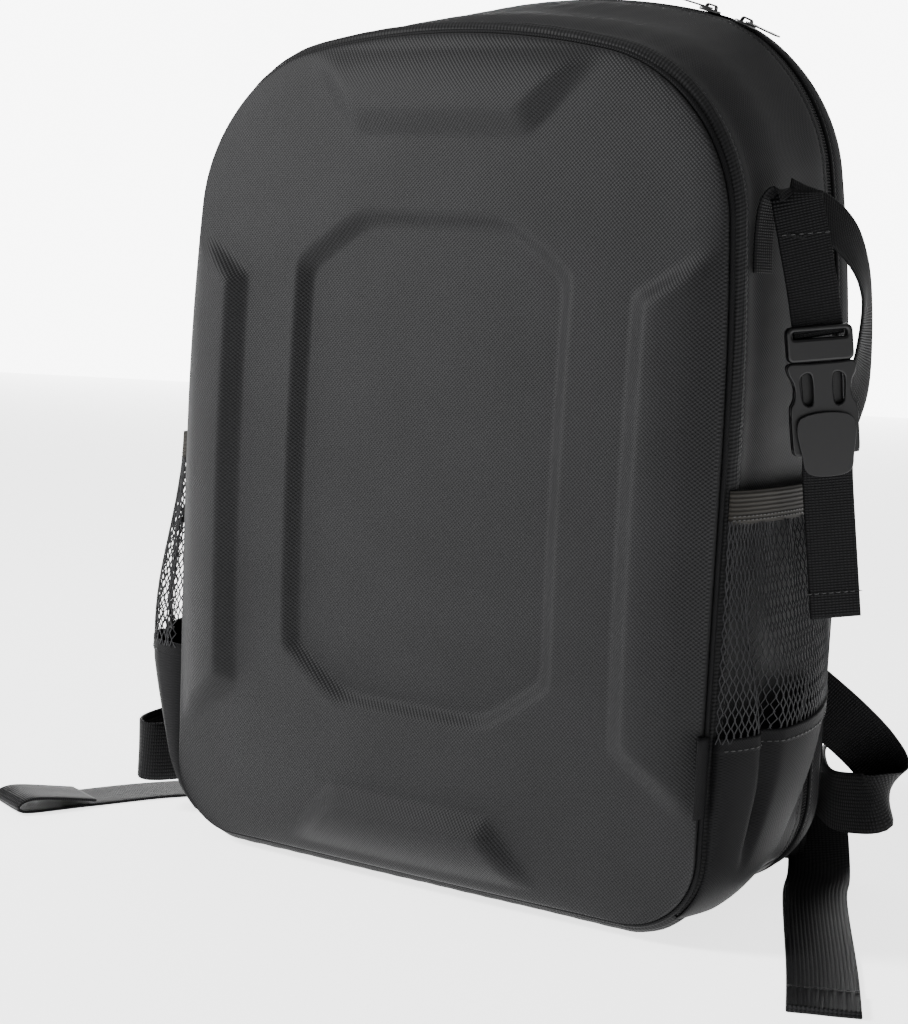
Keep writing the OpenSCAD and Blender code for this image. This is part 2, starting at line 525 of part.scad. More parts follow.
module buckle_female() color(plastic) tri_place() translate([17, 0, -tri_len - 14.4])
    difference() {
        translate([-buckle_w / 2, -buckle_t / 2, -female_l]) cube([buckle_w, buckle_t, female_l]);
        translate([-16, -3, -27]) cube([32, 6, 28]);
        for (s = [-1, 1]) translate([s * (buckle_w / 2 + 2) - 4, -buckle_t, -20])
            cube([8, 2 * buckle_t, 12]);
        translate([-tri_w / 2 - 0.8, -buckle_t, -slot_z - 2.6])
            cube([tri_w + 1.6, 2 * buckle_t, 5.2]);
    }
module tripod_tail() color(webc) tri_place() translate([17, 0, -tri_len - 14.4]) {
    yf = -buckle_t / 2 - web_t / 2 - 0.3;
    zb = -female_l;
    p = [[[0, buckle_t / 2 + 1.5, -slot_z + 1], [1, 0, 0]], [[0, 0, -slot_z], [1, 0, 0]],
        [[0, yf, -slot_z - 4.5], [1, 0, 0]], [[0, yf, zb - 1], [1, 0, 0]],
        [[0, -1, zb - 12], [1, 0, 0]], [[0, 0, zb - 40], [1, 0, 0]],
        [[0, 0, zb - tail_len], [1, 0, 0]]];
    ribbon(p, tri_w, web_t, 3);
    translate([-tri_w / 2, web_t / 2 - 0.1, zb - tail_len]) cube([tri_w, web_t, 16]);
}

front_shell();
front_piping();
gusset();
base_panel();
gusset_lining();
zip_case();
foam_floor();
foam_insert();
side_tag();
hinge_strip();
pocket_mesh_r();
pocket_mesh_l();
pocket_elastic_r();
pocket_elastic_l();
pocket_gore_r();
pocket_gore_l();
tripod_anchor();
back_panel();
zip_door();
door_lining();
lid_pocket();
back_pad_r();
back_pad_l();
lumbar_pad();
strap_yoke();
web_tab_r();
web_tab_l();
lower_web_r();
lower_web_l();
strap_pad_r();
strap_pad_l();
ladder_lock_r();
ladder_lock_l();
lock_tab_r();
lock_tab_l();
web_riser_r();
web_riser_l();
grab_handle();
handle_tabs();
slider_r();
slider_l();
pull_r();
pull_l();
tripod_strap();
tripod_return();
buckle_male();
buckle_female();
tripod_tail();
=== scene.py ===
"""Builds the looks of a hard-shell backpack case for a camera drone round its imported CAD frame."""

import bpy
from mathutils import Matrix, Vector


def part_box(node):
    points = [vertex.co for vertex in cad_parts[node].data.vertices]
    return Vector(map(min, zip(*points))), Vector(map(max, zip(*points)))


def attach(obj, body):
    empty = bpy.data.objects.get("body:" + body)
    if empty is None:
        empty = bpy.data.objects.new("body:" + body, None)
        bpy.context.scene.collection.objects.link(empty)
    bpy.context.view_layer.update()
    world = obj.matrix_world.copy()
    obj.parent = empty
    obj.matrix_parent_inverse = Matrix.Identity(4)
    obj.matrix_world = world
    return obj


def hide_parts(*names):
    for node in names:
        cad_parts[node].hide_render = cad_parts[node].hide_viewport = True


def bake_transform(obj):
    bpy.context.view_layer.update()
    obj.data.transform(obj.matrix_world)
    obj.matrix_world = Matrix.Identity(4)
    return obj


bl_info = {
    "name": "Hard-shell drone case",
    "version": (1, 0, 0),
    "blender": (4, 5, 0),
    "location": "3D View > Sidebar > Drone case",
    "description": "Shell, gusset, zip, pockets, webbing, pads and foam of a drone backpack case",
    "category": "Object",
}

import math

import bmesh
import bpy
import numpy as np
from mathutils import Matrix, Vector

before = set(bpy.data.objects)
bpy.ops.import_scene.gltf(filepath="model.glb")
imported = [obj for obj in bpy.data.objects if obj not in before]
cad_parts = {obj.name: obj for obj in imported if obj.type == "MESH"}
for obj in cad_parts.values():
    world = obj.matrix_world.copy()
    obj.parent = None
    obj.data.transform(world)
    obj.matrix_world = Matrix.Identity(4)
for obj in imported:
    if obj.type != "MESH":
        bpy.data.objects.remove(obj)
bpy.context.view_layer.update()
MM = 0.001


def edge(node, axis, high=False):
    """A CAD node's lowest or highest coordinate, in millimetres."""
    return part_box(node)[int(high)][axis] / MM


# depths of the case's layers, front to back
SEAM, ZIP = edge("front_piping", 1), edge("zip_case", 1)
DOOR, BACK = edge("back_panel", 1), edge("back_panel", 1, True)
FACE = SEAM - 21
OCT_MID = 233.6
LOOP = 400  # points round an outline
BASE_END = 44  # outline points from the middle of the foot to the end of the base panel
SHELL_OUTLINE = (336, 454, 9, 86, 40, 520, 0.105)
SEED = 7


def linear(code):
    """An sRGB hex colour as linear RGBA."""
    parts = [int(code[i:i + 2], 16) / 255 for i in (1, 3, 5)]
    return tuple(c / 12.92 if c <= 0.04045 else ((c + 0.055) / 1.055) ** 2.4 for c in parts) + (1.0,)


# ---- settings ----
def length(name, text, mm):
    return bpy.props.FloatProperty(name=name, description=text, default=mm * MM, min=0.0,
                                   unit="LENGTH", precision=4)


def colour(name, text, code):
    return bpy.props.FloatVectorProperty(name=name, description=text, default=linear(code)[:3],
                                         size=3, min=0.0, max=1.0, subtype="COLOR")


class CaseSizes(bpy.types.PropertyGroup):
    """Sizes of the case's details"""

    octagon_depth: length("Octagon depth", "Depth of the moulded octagon", 6.8)
    panel_height: length("Raised panels", "Height of the four raised panels", 9.0)
    rim_radius: length("Rim", "Reach of the shell's rounded rim", 18.0)
    weave: length("Weave pitch", "Distance between threads of the shell's cloth", 1.05)
    web_weave: length("Webbing pitch", "Distance between the webbing's ridges", 1.5)
    tooth_pitch: length("Zip pitch", "Distance between the zip's coils", 1.7)
    net_cell: length("Net cell", "Width of a hole in the pocket's net", 5.0)
    net_strand: length("Net strand", "Thickness of the net's strands", 0.85)
    stitch: length("Stitch", "Length of a stitch", 2.5)
    thread: length("Thread", "Thickness of the sewing thread", 0.55)
    pad_swell: length("Pad swell", "How far padding may swell in the cloth simulation", 3.5)


class CaseColours(bpy.types.PropertyGroup):
    """Colours of the case's materials"""

    cloth: colour("Shell cloth", "Oxford cloth of the shell, gusset and back", "#131314")
    trim: colour("Trim cloth", "Dense cloth of the base, gores and bindings", "#0d0d0e")
    webbing: colour("Webbing", "Woven straps", "#0e0e0f")
    elastic: colour("Elastic", "Ribbed band over the pockets", "#24221f")
    net: colour("Net", "Strands of the pockets' net", "#161618")
    pad: colour("Air mesh", "Spacer mesh of the back pads", "#1c1d1f")
    lining: colour("Lining", "Lining inside the case", "#303134")
    foam: colour("Foam", "Cut foam insert", "#232427")
    plastic: colour("Plastic", "Buckles and locks", "#0b0b0c")
    metal: colour("Enamel", "Zip sliders and pulls", "#111112")


# ---- meshes ----
def finish_mesh(name, data, material, body, nodes=(), smooth=True):
    """Turns a mesh into a finished piece that rides on its body, for the CAD nodes that it stands for."""
    tidy = bmesh.new()
    tidy.from_mesh(data)
    bmesh.ops.recalc_face_normals(tidy, faces=tidy.faces)
    tidy.to_mesh(data)
    tidy.free()
    obj = bpy.data.objects.new(name, data)
    bpy.context.scene.collection.objects.link(obj)
    if material is not None:
        data.materials.clear()
        data.materials.append(material)
    data.polygons.foreach_set("use_smooth", np.full(len(data.polygons), smooth))
    if nodes:
        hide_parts(*nodes)
    if body:
        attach(obj, body)
    return obj


def grid(name, points, uv, wrap=(False, False), caps=(False, False)):
    """A mesh through a grid of points in millimetres; uv has one more row or column where it wraps."""
    n, m = points.shape[:2]
    i, j = np.meshgrid(np.arange(n if wrap[0] else n - 1), np.arange(m if wrap[1] else m - 1),
                       indexing="ij")
    i, j = i.ravel(), j.ravel()
    corners = [(i, j), (i, j + 1), (i + 1, j + 1), (i + 1, j)]
    quads = np.stack([(a % n) * m + b % m for a, b in corners], 1)
    maps = np.stack([uv[a, b] for a, b in corners], 1).reshape(-1, 2)
    faces = quads.tolist()
    if caps[0]:
        faces.append(list(range(m)))
        maps = np.concatenate([maps, uv[0, :m]])
    if caps[1]:
        faces.append([(n - 1) * m + k for k in range(m)])
        maps = np.concatenate([maps, uv[n - 1, :m]])
    data = bpy.data.meshes.new(name)
    data.from_pydata((points.reshape(-1, 3) * MM).tolist(), [], faces)
    data.uv_layers.new(name="UVMap").data.foreach_set("uv", maps.astype(np.float32).ravel())
    return data


def join(name, parts):
    """Several meshes as one, with their UV maps."""
    whole = bmesh.new()
    for part in parts:
        whole.from_mesh(part)
    data = bpy.data.meshes.new(name)
    whole.to_mesh(data)
    whole.free()
    return data


def lengths(path, closed=False):
    """Distance along a path at each of its points."""
    ends = np.roll(path, -1, 0) if closed else path[1:]
    step = np.linalg.norm(ends - (path if closed else path[:-1]), axis=1)
    return np.concatenate([[0.0], np.cumsum(step)])


def resample(path, n, closed=False):
    """n evenly spaced points on a path."""
    run = lengths(path, closed)
    full = np.concatenate([path, path[:1]]) if closed else path
    at = np.linspace(0, run[-1], n + 1 if closed else n)[:n]
    return np.stack([np.interp(at, run, full[:, k]) for k in range(path.shape[1])], 1)


def ramp(t, fillet=0.35):
    """0 to 1 with a straight middle and rounded ends."""
    t = np.clip(t, 0, 1)
    low, high = t * t / (2 * fillet), (1 - fillet) - (1 - t) ** 2 / (2 * fillet)
    return np.where(t < fillet, low, np.where(t > 1 - fillet, high, t - fillet / 2)) / (1 - fillet)


def bell(x, middle, width):
    return np.exp(-((x - middle) / width) ** 2)


def ripple(a, b, size, seed=SEED):
    """A smooth, seeded unevenness over two lengths, from about -1 to 1."""
    rng = np.random.default_rng(seed)
    out = 0
    for _ in range(6):
        fa, fb, phase = rng.uniform(-1, 1), rng.uniform(-1, 1), rng.uniform(0, 2 * math.pi)
        out = out + np.sin(2 * math.pi * (fa * a + fb * b) / size + phase)
    return out / 3


# ---- the case's outlines ----
def outline(width, height, foot, top_r, bottom_r, crown_r, taper, n=LOOP):
    """A closed outline from the middle of the foot round by the right side, and its outward normals."""
    x = width / 2
    lean = math.asin((x - top_r) / (crown_r - top_r))
    crown = foot + height - crown_r
    corner = crown + (crown_r - top_r) * math.cos(lean)

    def arc(cx, cz, r, a0, a1, k):
        a = np.linspace(a0, a1, k)
        return np.stack([cx + r * np.cos(a), cz + r * np.sin(a)], 1)

    side = np.stack([np.full(40, x), np.linspace(foot + bottom_r, corner, 40)], 1)[1:-1]
    right = np.concatenate([
        [[0, foot]], arc(x - bottom_r, foot + bottom_r, bottom_r, -math.pi / 2, 0, 30), side,
        arc(x - top_r, corner, top_r, 0, math.pi / 2 - lean, 50),
        arc(0, crown, crown_r, math.pi / 2 - lean, math.pi / 2, 40)[1:]])
    loop = np.concatenate([right, (right * [-1, 1])[-2:0:-1]])
    loop[:, 0] *= 1 - taper * (np.maximum(0, loop[:, 1] - 250) / 250) ** 2
    loop = resample(loop, n, True)
    way = np.roll(loop, -1, 0) - np.roll(loop, 1, 0)
    way /= np.linalg.norm(way, axis=1)[:, None]
    return loop, np.stack([way[:, 1], -way[:, 0]], 1)


def section(y):
    """The case's outline at depth y, which grows from the front seam to the zip."""
    t = np.clip((y - SEAM) / (ZIP - SEAM), 0, 1)
    foot = 6 * (1 - np.clip((y - SEAM) / 34, 0, 1)) ** 2
    return outline(344 - 2 * t, 467 + 31 * t - foot, foot, 88 - 4 * t, 44 + 12 * t, 524,
                   0.105 + 0.085 * t)


def round_case(profile, first=0, last=LOOP, uneven=None):
    """Rows of points round the case for a profile of (outward offset, depth)."""
    rows = []
    for out, y in profile:
        loop, normal = section(y)
        run = lengths(loop, True)[:-1]
        offset = out + (uneven(run, y, out) if uneven else 0)
        p = loop + normal * np.reshape(offset, (-1, 1))
        rows.append(np.stack([p[:, 0], np.full(len(p), y), p[:, 1]], 1))
    points = np.stack(rows, 1)
    index = np.arange(first, last + 1) % LOOP
    run = lengths(section(ZIP)[0], True)
    v = np.interp(np.arange(first, last + 1), np.arange(-LOOP, 2 * LOOP + 1),
                  np.concatenate([run[:-1] - run[-1], run[:-1], run + run[-1]]))
    flat = np.array(profile, float)
    u = lengths(flat, True)
    uv = np.stack(np.broadcast_arrays(u[None, :], v[:, None]), -1)
    return points[index], uv


# ---- swept pieces ----
def smooth_path(stations, step=2.5):
    """Evenly spaced points and width directions on a smooth path through the stations."""
    s = [np.concatenate([np.array(p, float), np.array(w, float)]) for p, w in stations]
    s = [s[0]] + s + [s[-1]]
    out = []
    for a, b, c, d in zip(s, s[1:], s[2:], s[3:]):
        for t in np.arange(12) / 12:
            out.append(0.5 * (2 * b + (c - a) * t + (2 * a - 5 * b + 4 * c - d) * t * t
                              + (3 * b - a - 3 * c + d) * t ** 3))
    out = np.array(out + [s[-2]])
    run = lengths(out[:, :3])
    at = np.linspace(0, run[-1], max(4, int(run[-1] / step) + 1))
    return np.stack([np.interp(at, run, out[:, k]) for k in range(6)], 1)


def frames(path):
    """Tangent, width and thickness directions along a path."""
    p, w = path[:, :3], path[:, 3:]
    way = np.gradient(p, axis=0)
    way /= np.linalg.norm(way, axis=1)[:, None]
    up = np.cross(way, w)
    up /= np.linalg.norm(up, axis=1)[:, None]
    return way, np.cross(up, way), up


def strap(name, stations, width, thick, step=2.5, sag=0.0, seed=SEED, crown=0.0, across=9,
          taper=None):
    """A flat strap with rounded edges, swept along its stations; crown swells its middle."""
    path = smooth_path(stations, step)
    _, wide, up = frames(path)
    run = lengths(path[:, :3])
    k = np.linspace(-1, 1, across)
    half = thick / 2
    top = [(x * (width / 2 - half * 0.8), half * (1 + crown * (1 - abs(x) ** 2.5))) for x in k]
    side = [(width / 2 - half * 0.2, half * 0.62), (width / 2, 0), (width / 2 - half * 0.2, -half * 0.62)]
    ring = top + side + [(x, -y) for x, y in reversed(top)] + [(-x, y) for x, y in reversed(side)]
    ring = np.array(ring)
    scale = np.ones(len(path)) if taper is None else np.interp(
        np.linspace(0, 1, len(path)), np.linspace(0, 1, len(taper)), taper)
    uneven = sag * ripple(run[:, None], ring[None, :, 0] * 3, 60, seed)
    points = (path[:, None, :3] + wide[:, None] * (ring[None, :, 0] * scale[:, None])[..., None]
              + up[:, None] * (ring[None, :, 1] + uneven)[..., None])
    u = np.concatenate([ring[:, 0], ring[:1, 0]])
    uv = np.stack(np.broadcast_arrays(u[None, :], run[:, None]), -1)
    return grid(name, points, uv, (False, True), (True, True))


def tube(name, path, radius, sides=8, closed=False, direction=(0, 1, 0)):
    """A round cord along a path of points."""
    full = np.concatenate([path, np.tile(direction, (len(path), 1))], 1)
    if closed:
        wrapped = np.concatenate([full[-2:], full, full[:2]])
        wide, up = (f[2:-2] for f in frames(wrapped)[1:])
    else:
        wide, up = frames(full)[1:]
    a = np.linspace(0, 2 * math.pi, sides, endpoint=False)
    points = path[:, None] + radius * (wide[:, None] * np.cos(a)[None, :, None]
                                       + up[:, None] * np.sin(a)[None, :, None])
    run = lengths(path, closed)
    u = np.linspace(0, 2 * math.pi * radius, sides + 1)
    uv = np.stack(np.broadcast_arrays(u[None, :], run[:, None]), -1)
    return grid(name, points, uv, (closed, True), (not closed, not closed))


def plate(name, outer, holes=(), thick=4.0, bevel=0.6, place=Matrix.Identity(4)):
    """A moulded plate with rounded edges: closed outlines in its own XZ plane, in millimetres."""
    curve = bpy.data.curves.new(name, "CURVE")
    curve.dimensions, curve.fill_mode = "2D", "BOTH"
    curve.extrude, curve.bevel_depth, curve.bevel_resolution = (thick / 2 - bevel) * MM, bevel * MM, 2
    curve.offset = -bevel * MM
    for ring in [outer, *holes]:
        spline = curve.splines.new("POLY")
        spline.points.add(len(ring) - 1)
        for point, (x, z) in zip(spline.points, ring):
            point.co = (x * MM, z * MM, 0, 1)
        spline.use_cyclic_u = True
    holder = bpy.data.objects.new(name, curve)
    bpy.context.scene.collection.objects.link(holder)
    data = bpy.data.meshes.new_from_object(holder.evaluated_get(
        bpy.context.evaluated_depsgraph_get()))
    bpy.data.objects.remove(holder)
    bpy.data.curves.remove(curve)
    layer = data.uv_layers.get("UVMap") or data.uv_layers.new(name="UVMap")
    for loop in data.loops:
        layer.data[loop.index].uv = data.vertices[loop.vertex_index].co.xy / MM
    data.transform(place @ Matrix.Rotation(math.pi / 2, 4, "X"))
    return data


def rounded(w, h, r, cx=0.0, cz=0.0, k=6):
    """A rectangle with round corners as a list of points."""
    out = []
    for sx, sz, a0 in ((1, -1, -90), (1, 1, 0), (-1, 1, 90), (-1, -1, 180)):
        for a in np.radians(np.linspace(a0, a0 + 90, k)):
            out.append((cx + sx * (w / 2 - r) + r * math.cos(a), cz + sz * (h / 2 - r) + r * math.sin(a)))
    return out


def soft_ring(points, n=64):
    """A closed smooth outline through a few points."""
    p = np.array(points, float)
    out = []
    for i in range(len(p)):
        a, b, c, d = (p[(i + k) % len(p)] for k in (-1, 0, 1, 2))
        for t in np.arange(6) / 6:
            out.append(0.5 * (2 * b + (c - a) * t + (2 * a - 5 * b + 4 * c - d) * t * t
                              + (3 * b - a - 3 * c + d) * t ** 3))
    return [tuple(q) for q in resample(np.array(out), n, True)]


# ---- geometry nodes ----
def new_tree(name, sockets):
    """A geometry tree with named inputs, and the identifiers that set them."""
    tree = bpy.data.node_groups.new(name, "GeometryNodeTree")
    tree.interface.new_socket("Geometry", in_out="INPUT", socket_type="NodeSocketGeometry")
    ids = {}
    for label, kind, default in sockets:
        item = tree.interface.new_socket(label, in_out="INPUT", socket_type=kind)
        if default is not None:
            item.default_value = default
        ids[label] = item.identifier
    tree.interface.new_socket("Geometry", in_out="OUTPUT", socket_type="NodeSocketGeometry")
    return tree, node(tree, "NodeGroupInput").outputs, ids


def node(tree, kind, inputs=None, **settings):
    """Adds a node with its settings, and values or links for its inputs."""
    new = tree.nodes.new(kind)
    for key, value in settings.items():
        setattr(new, key, value)
    for key, value in (inputs or {}).items():
        if isinstance(value, bpy.types.NodeSocket):
            tree.links.new(value, new.inputs[key])
        else:
            new.inputs[key].default_value = value
    return new


def bead_tree():
    """Beads along paths: stitches, and the coils of a zip. Y stays across a path that runs in XZ."""
    tree, given, ids = new_tree("Beads along a path", [
        ("Spacing", "NodeSocketFloat", 0.003), ("Size", "NodeSocketVector", None),
        ("Turn about Y", "NodeSocketBool", False), ("Material", "NodeSocketMaterial", None)])
    curve = node(tree, "GeometryNodeMeshToCurve", {"Mesh": given["Geometry"]})
    even = node(tree, "GeometryNodeResampleCurve", {"Curve": curve.outputs[0], "Length": given["Spacing"]},
                mode="LENGTH")
    tangent = node(tree, "GeometryNodeInputTangent").outputs[0]
    free = node(tree, "FunctionNodeAlignRotationToVector", {"Vector": tangent}, axis="X")
    about = node(tree, "FunctionNodeAlignRotationToVector", {"Vector": tangent}, axis="X", pivot_axis="Y")
    turn = node(tree, "GeometryNodeSwitch", {"Switch": given["Turn about Y"], "False": free.outputs[0],
                                             "True": about.outputs[0]}, input_type="ROTATION")
    bead = node(tree, "GeometryNodeMeshUVSphere", {"Segments": 8, "Rings": 5, "Radius": 0.5})
    placed = node(tree, "GeometryNodeInstanceOnPoints", {
        "Points": even.outputs[0], "Instance": bead.outputs[0], "Rotation": turn.outputs[0],
        "Scale": given["Size"]})
    real = node(tree, "GeometryNodeRealizeInstances", {"Geometry": placed.outputs[0]})
    done = node(tree, "GeometryNodeSetMaterial", {"Geometry": real.outputs[0], "Material": given["Material"]})
    node(tree, "NodeGroupOutput", {0: done.outputs[0]})
    return tree, ids


def strand_tree():
    """Round strands along paths, for the pockets' net."""
    tree, given, ids = new_tree("Strands along paths", [
        ("Radius", "NodeSocketFloat", 0.0003), ("Material", "NodeSocketMaterial", None)])
    curve = node(tree, "GeometryNodeMeshToCurve", {"Mesh": given["Geometry"]})
    ring = node(tree, "GeometryNodeCurvePrimitiveCircle", {"Resolution": 5, "Radius": given["Radius"]})
    swept = node(tree, "GeometryNodeCurveToMesh", {"Curve": curve.outputs[0],
                                                   "Profile Curve": ring.outputs[0], "Fill Caps": True})
    real = node(tree, "GeometryNodeRealizeInstances", {"Geometry": swept.outputs[0]})
    done = node(tree, "GeometryNodeSetMaterial", {"Geometry": real.outputs[0], "Material": given["Material"]})
    node(tree, "NodeGroupOutput", {0: done.outputs[0]})
    return tree, ids


def grow(name, paths, tree_ids, values):
    """Runs a tree over paths of points in millimetres and returns the plain mesh."""
    tree, ids = tree_ids
    points, edges, start = [], [], 0
    for path, closed in paths:
        points.append(np.asarray(path, float) * MM)
        k = len(path)
        edges += [(start + i, start + (i + 1) % k) for i in range(k if closed else k - 1)]
        start += k
    data = bpy.data.meshes.new(name)
    data.from_pydata(np.concatenate(points).tolist(), edges, [])
    holder = bpy.data.objects.new(name, data)
    bpy.context.scene.collection.objects.link(holder)
    modifier = holder.modifiers.new("Grow", "NODES")
    modifier.node_group = tree
    for key, value in values.items():
        modifier[ids[key]] = value
    grown = bpy.data.meshes.new_from_object(holder.evaluated_get(bpy.context.evaluated_depsgraph_get()))
    holder.modifiers.remove(modifier)
    bpy.data.objects.remove(holder)
    bpy.data.meshes.remove(data)
    grown.name = name
    return grown


# ---- materials ----
def surface(name, tint, rough, sheen=0.0, coat=0.0, specular=0.5):
    """A new material with a Principled shader, and its tree and shader."""
    made = bpy.data.materials.new(name)
    made.use_nodes = True
    tree = made.node_tree
    shader = tree.nodes["Principled BSDF"]
    shader.inputs["Base Color"].default_value = (*tint[:3], 1)
    shader.inputs["Roughness"].default_value = rough
    shader.inputs["Sheen Weight"].default_value = sheen
    shader.inputs["Sheen Roughness"].default_value = 0.45
    shader.inputs["Coat Weight"].default_value = coat
    shader.inputs["Specular IOR Level"].default_value = specular
    return made, tree, shader


def maths(tree, how, a, b=0.0, c=0.0):
    return node(tree, "ShaderNodeMath", {0: a, 1: b, 2: c}, operation=how).outputs[0]


def threads(tree, pitch_u, pitch_v, turn=0.0):
    """Height of a plain weave, 0 to 1, from the piece's UV in millimetres."""
    uv = node(tree, "ShaderNodeUVMap", uv_map="UVMap").outputs[0]
    if turn:
        uv = node(tree, "ShaderNodeMapping", {"Vector": uv, "Rotation": (0, 0, turn)}).outputs[0]
    split = node(tree, "ShaderNodeSeparateXYZ", {0: uv}).outputs
    a = maths(tree, "SINE", maths(tree, "MULTIPLY", split[0], math.pi / pitch_u))
    b = maths(tree, "SINE", maths(tree, "MULTIPLY", split[1], math.pi / pitch_v))
    return maths(tree, "MULTIPLY_ADD", maths(tree, "MULTIPLY", a, b), 0.5, 0.5)


def columns(tree, across, along_pitch):
    """Height of webbing, 0 to 1: columns of small dots along its length."""
    uv = node(tree, "ShaderNodeUVMap", uv_map="UVMap").outputs[0]
    split = node(tree, "ShaderNodeSeparateXYZ", {0: uv}).outputs
    a = maths(tree, "ABSOLUTE", maths(tree, "SINE", maths(tree, "MULTIPLY", split[0], math.pi / across)))
    b = maths(tree, "SINE", maths(tree, "MULTIPLY", split[1], 2 * math.pi / along_pitch))
    return maths(tree, "MULTIPLY", a, maths(tree, "MULTIPLY_ADD", b, 0.5, 0.5))


def ribs(tree, pitch):
    """Height of ribs along a band, 0 to 1."""
    uv = node(tree, "ShaderNodeUVMap", uv_map="UVMap").outputs[0]
    level = node(tree, "ShaderNodeSeparateXYZ", {0: uv}).outputs[1]
    return maths(tree, "MULTIPLY_ADD", maths(tree, "SINE", maths(tree, "MULTIPLY", level, 2 * math.pi / pitch)),
                 0.5, 0.5)


def dress(tree, shader, height, tint, low, high, depth, strength=1.0, mottling=0.12):
    """Colours a surface by its height: for a woven, ribbed or knitted relief this is painted shade in its hollows
    and a painted highlight on its crests, for a random grain only a random tone; breaks it up at the scale of a
    hand, and bumps it.
    """
    # low and high darken and lighten the tint: painted shade and painted highlight where the height is relief, a
    # random tone where it is grain
    dark = tuple(c * low for c in tint[:3]) + (1,)
    light = tuple(min(1, c * high) for c in tint[:3]) + (1,)
    relief_shade_and_grain_tone = node(tree, "ShaderNodeMix", {0: height, 6: dark, 7: light}, data_type="RGBA")
    place = node(tree, "ShaderNodeTexCoord").outputs["Object"]
    cloud = node(tree, "ShaderNodeTexNoise", {"Vector": place, "Scale": 26.0, "Detail": 3.0})
    wear = node(tree, "ShaderNodeMapRange", {"Value": cloud.outputs[0], "From Min": 0.3, "From Max": 0.7,
                                             "To Min": 1 - mottling, "To Max": 1 + mottling})
    tone = node(tree, "ShaderNodeVectorMath", {0: relief_shade_and_grain_tone.outputs[2], "Scale": wear.outputs[0]},
                operation="SCALE")
    tree.links.new(tone.outputs[0], shader.inputs["Base Color"])
    bump = node(tree, "ShaderNodeBump", {"Strength": strength, "Distance": depth * MM, "Height": height})
    tree.links.new(bump.outputs[0], shader.inputs["Normal"])


def grain(tree, scale, detail=4.0):
    """Height of an even, fine grain from object coordinates."""
    place = node(tree, "ShaderNodeTexCoord").outputs["Object"]
    return node(tree, "ShaderNodeTexNoise", {"Vector": place, "Scale": scale, "Detail": detail}).outputs[0]


MATERIALS = {}


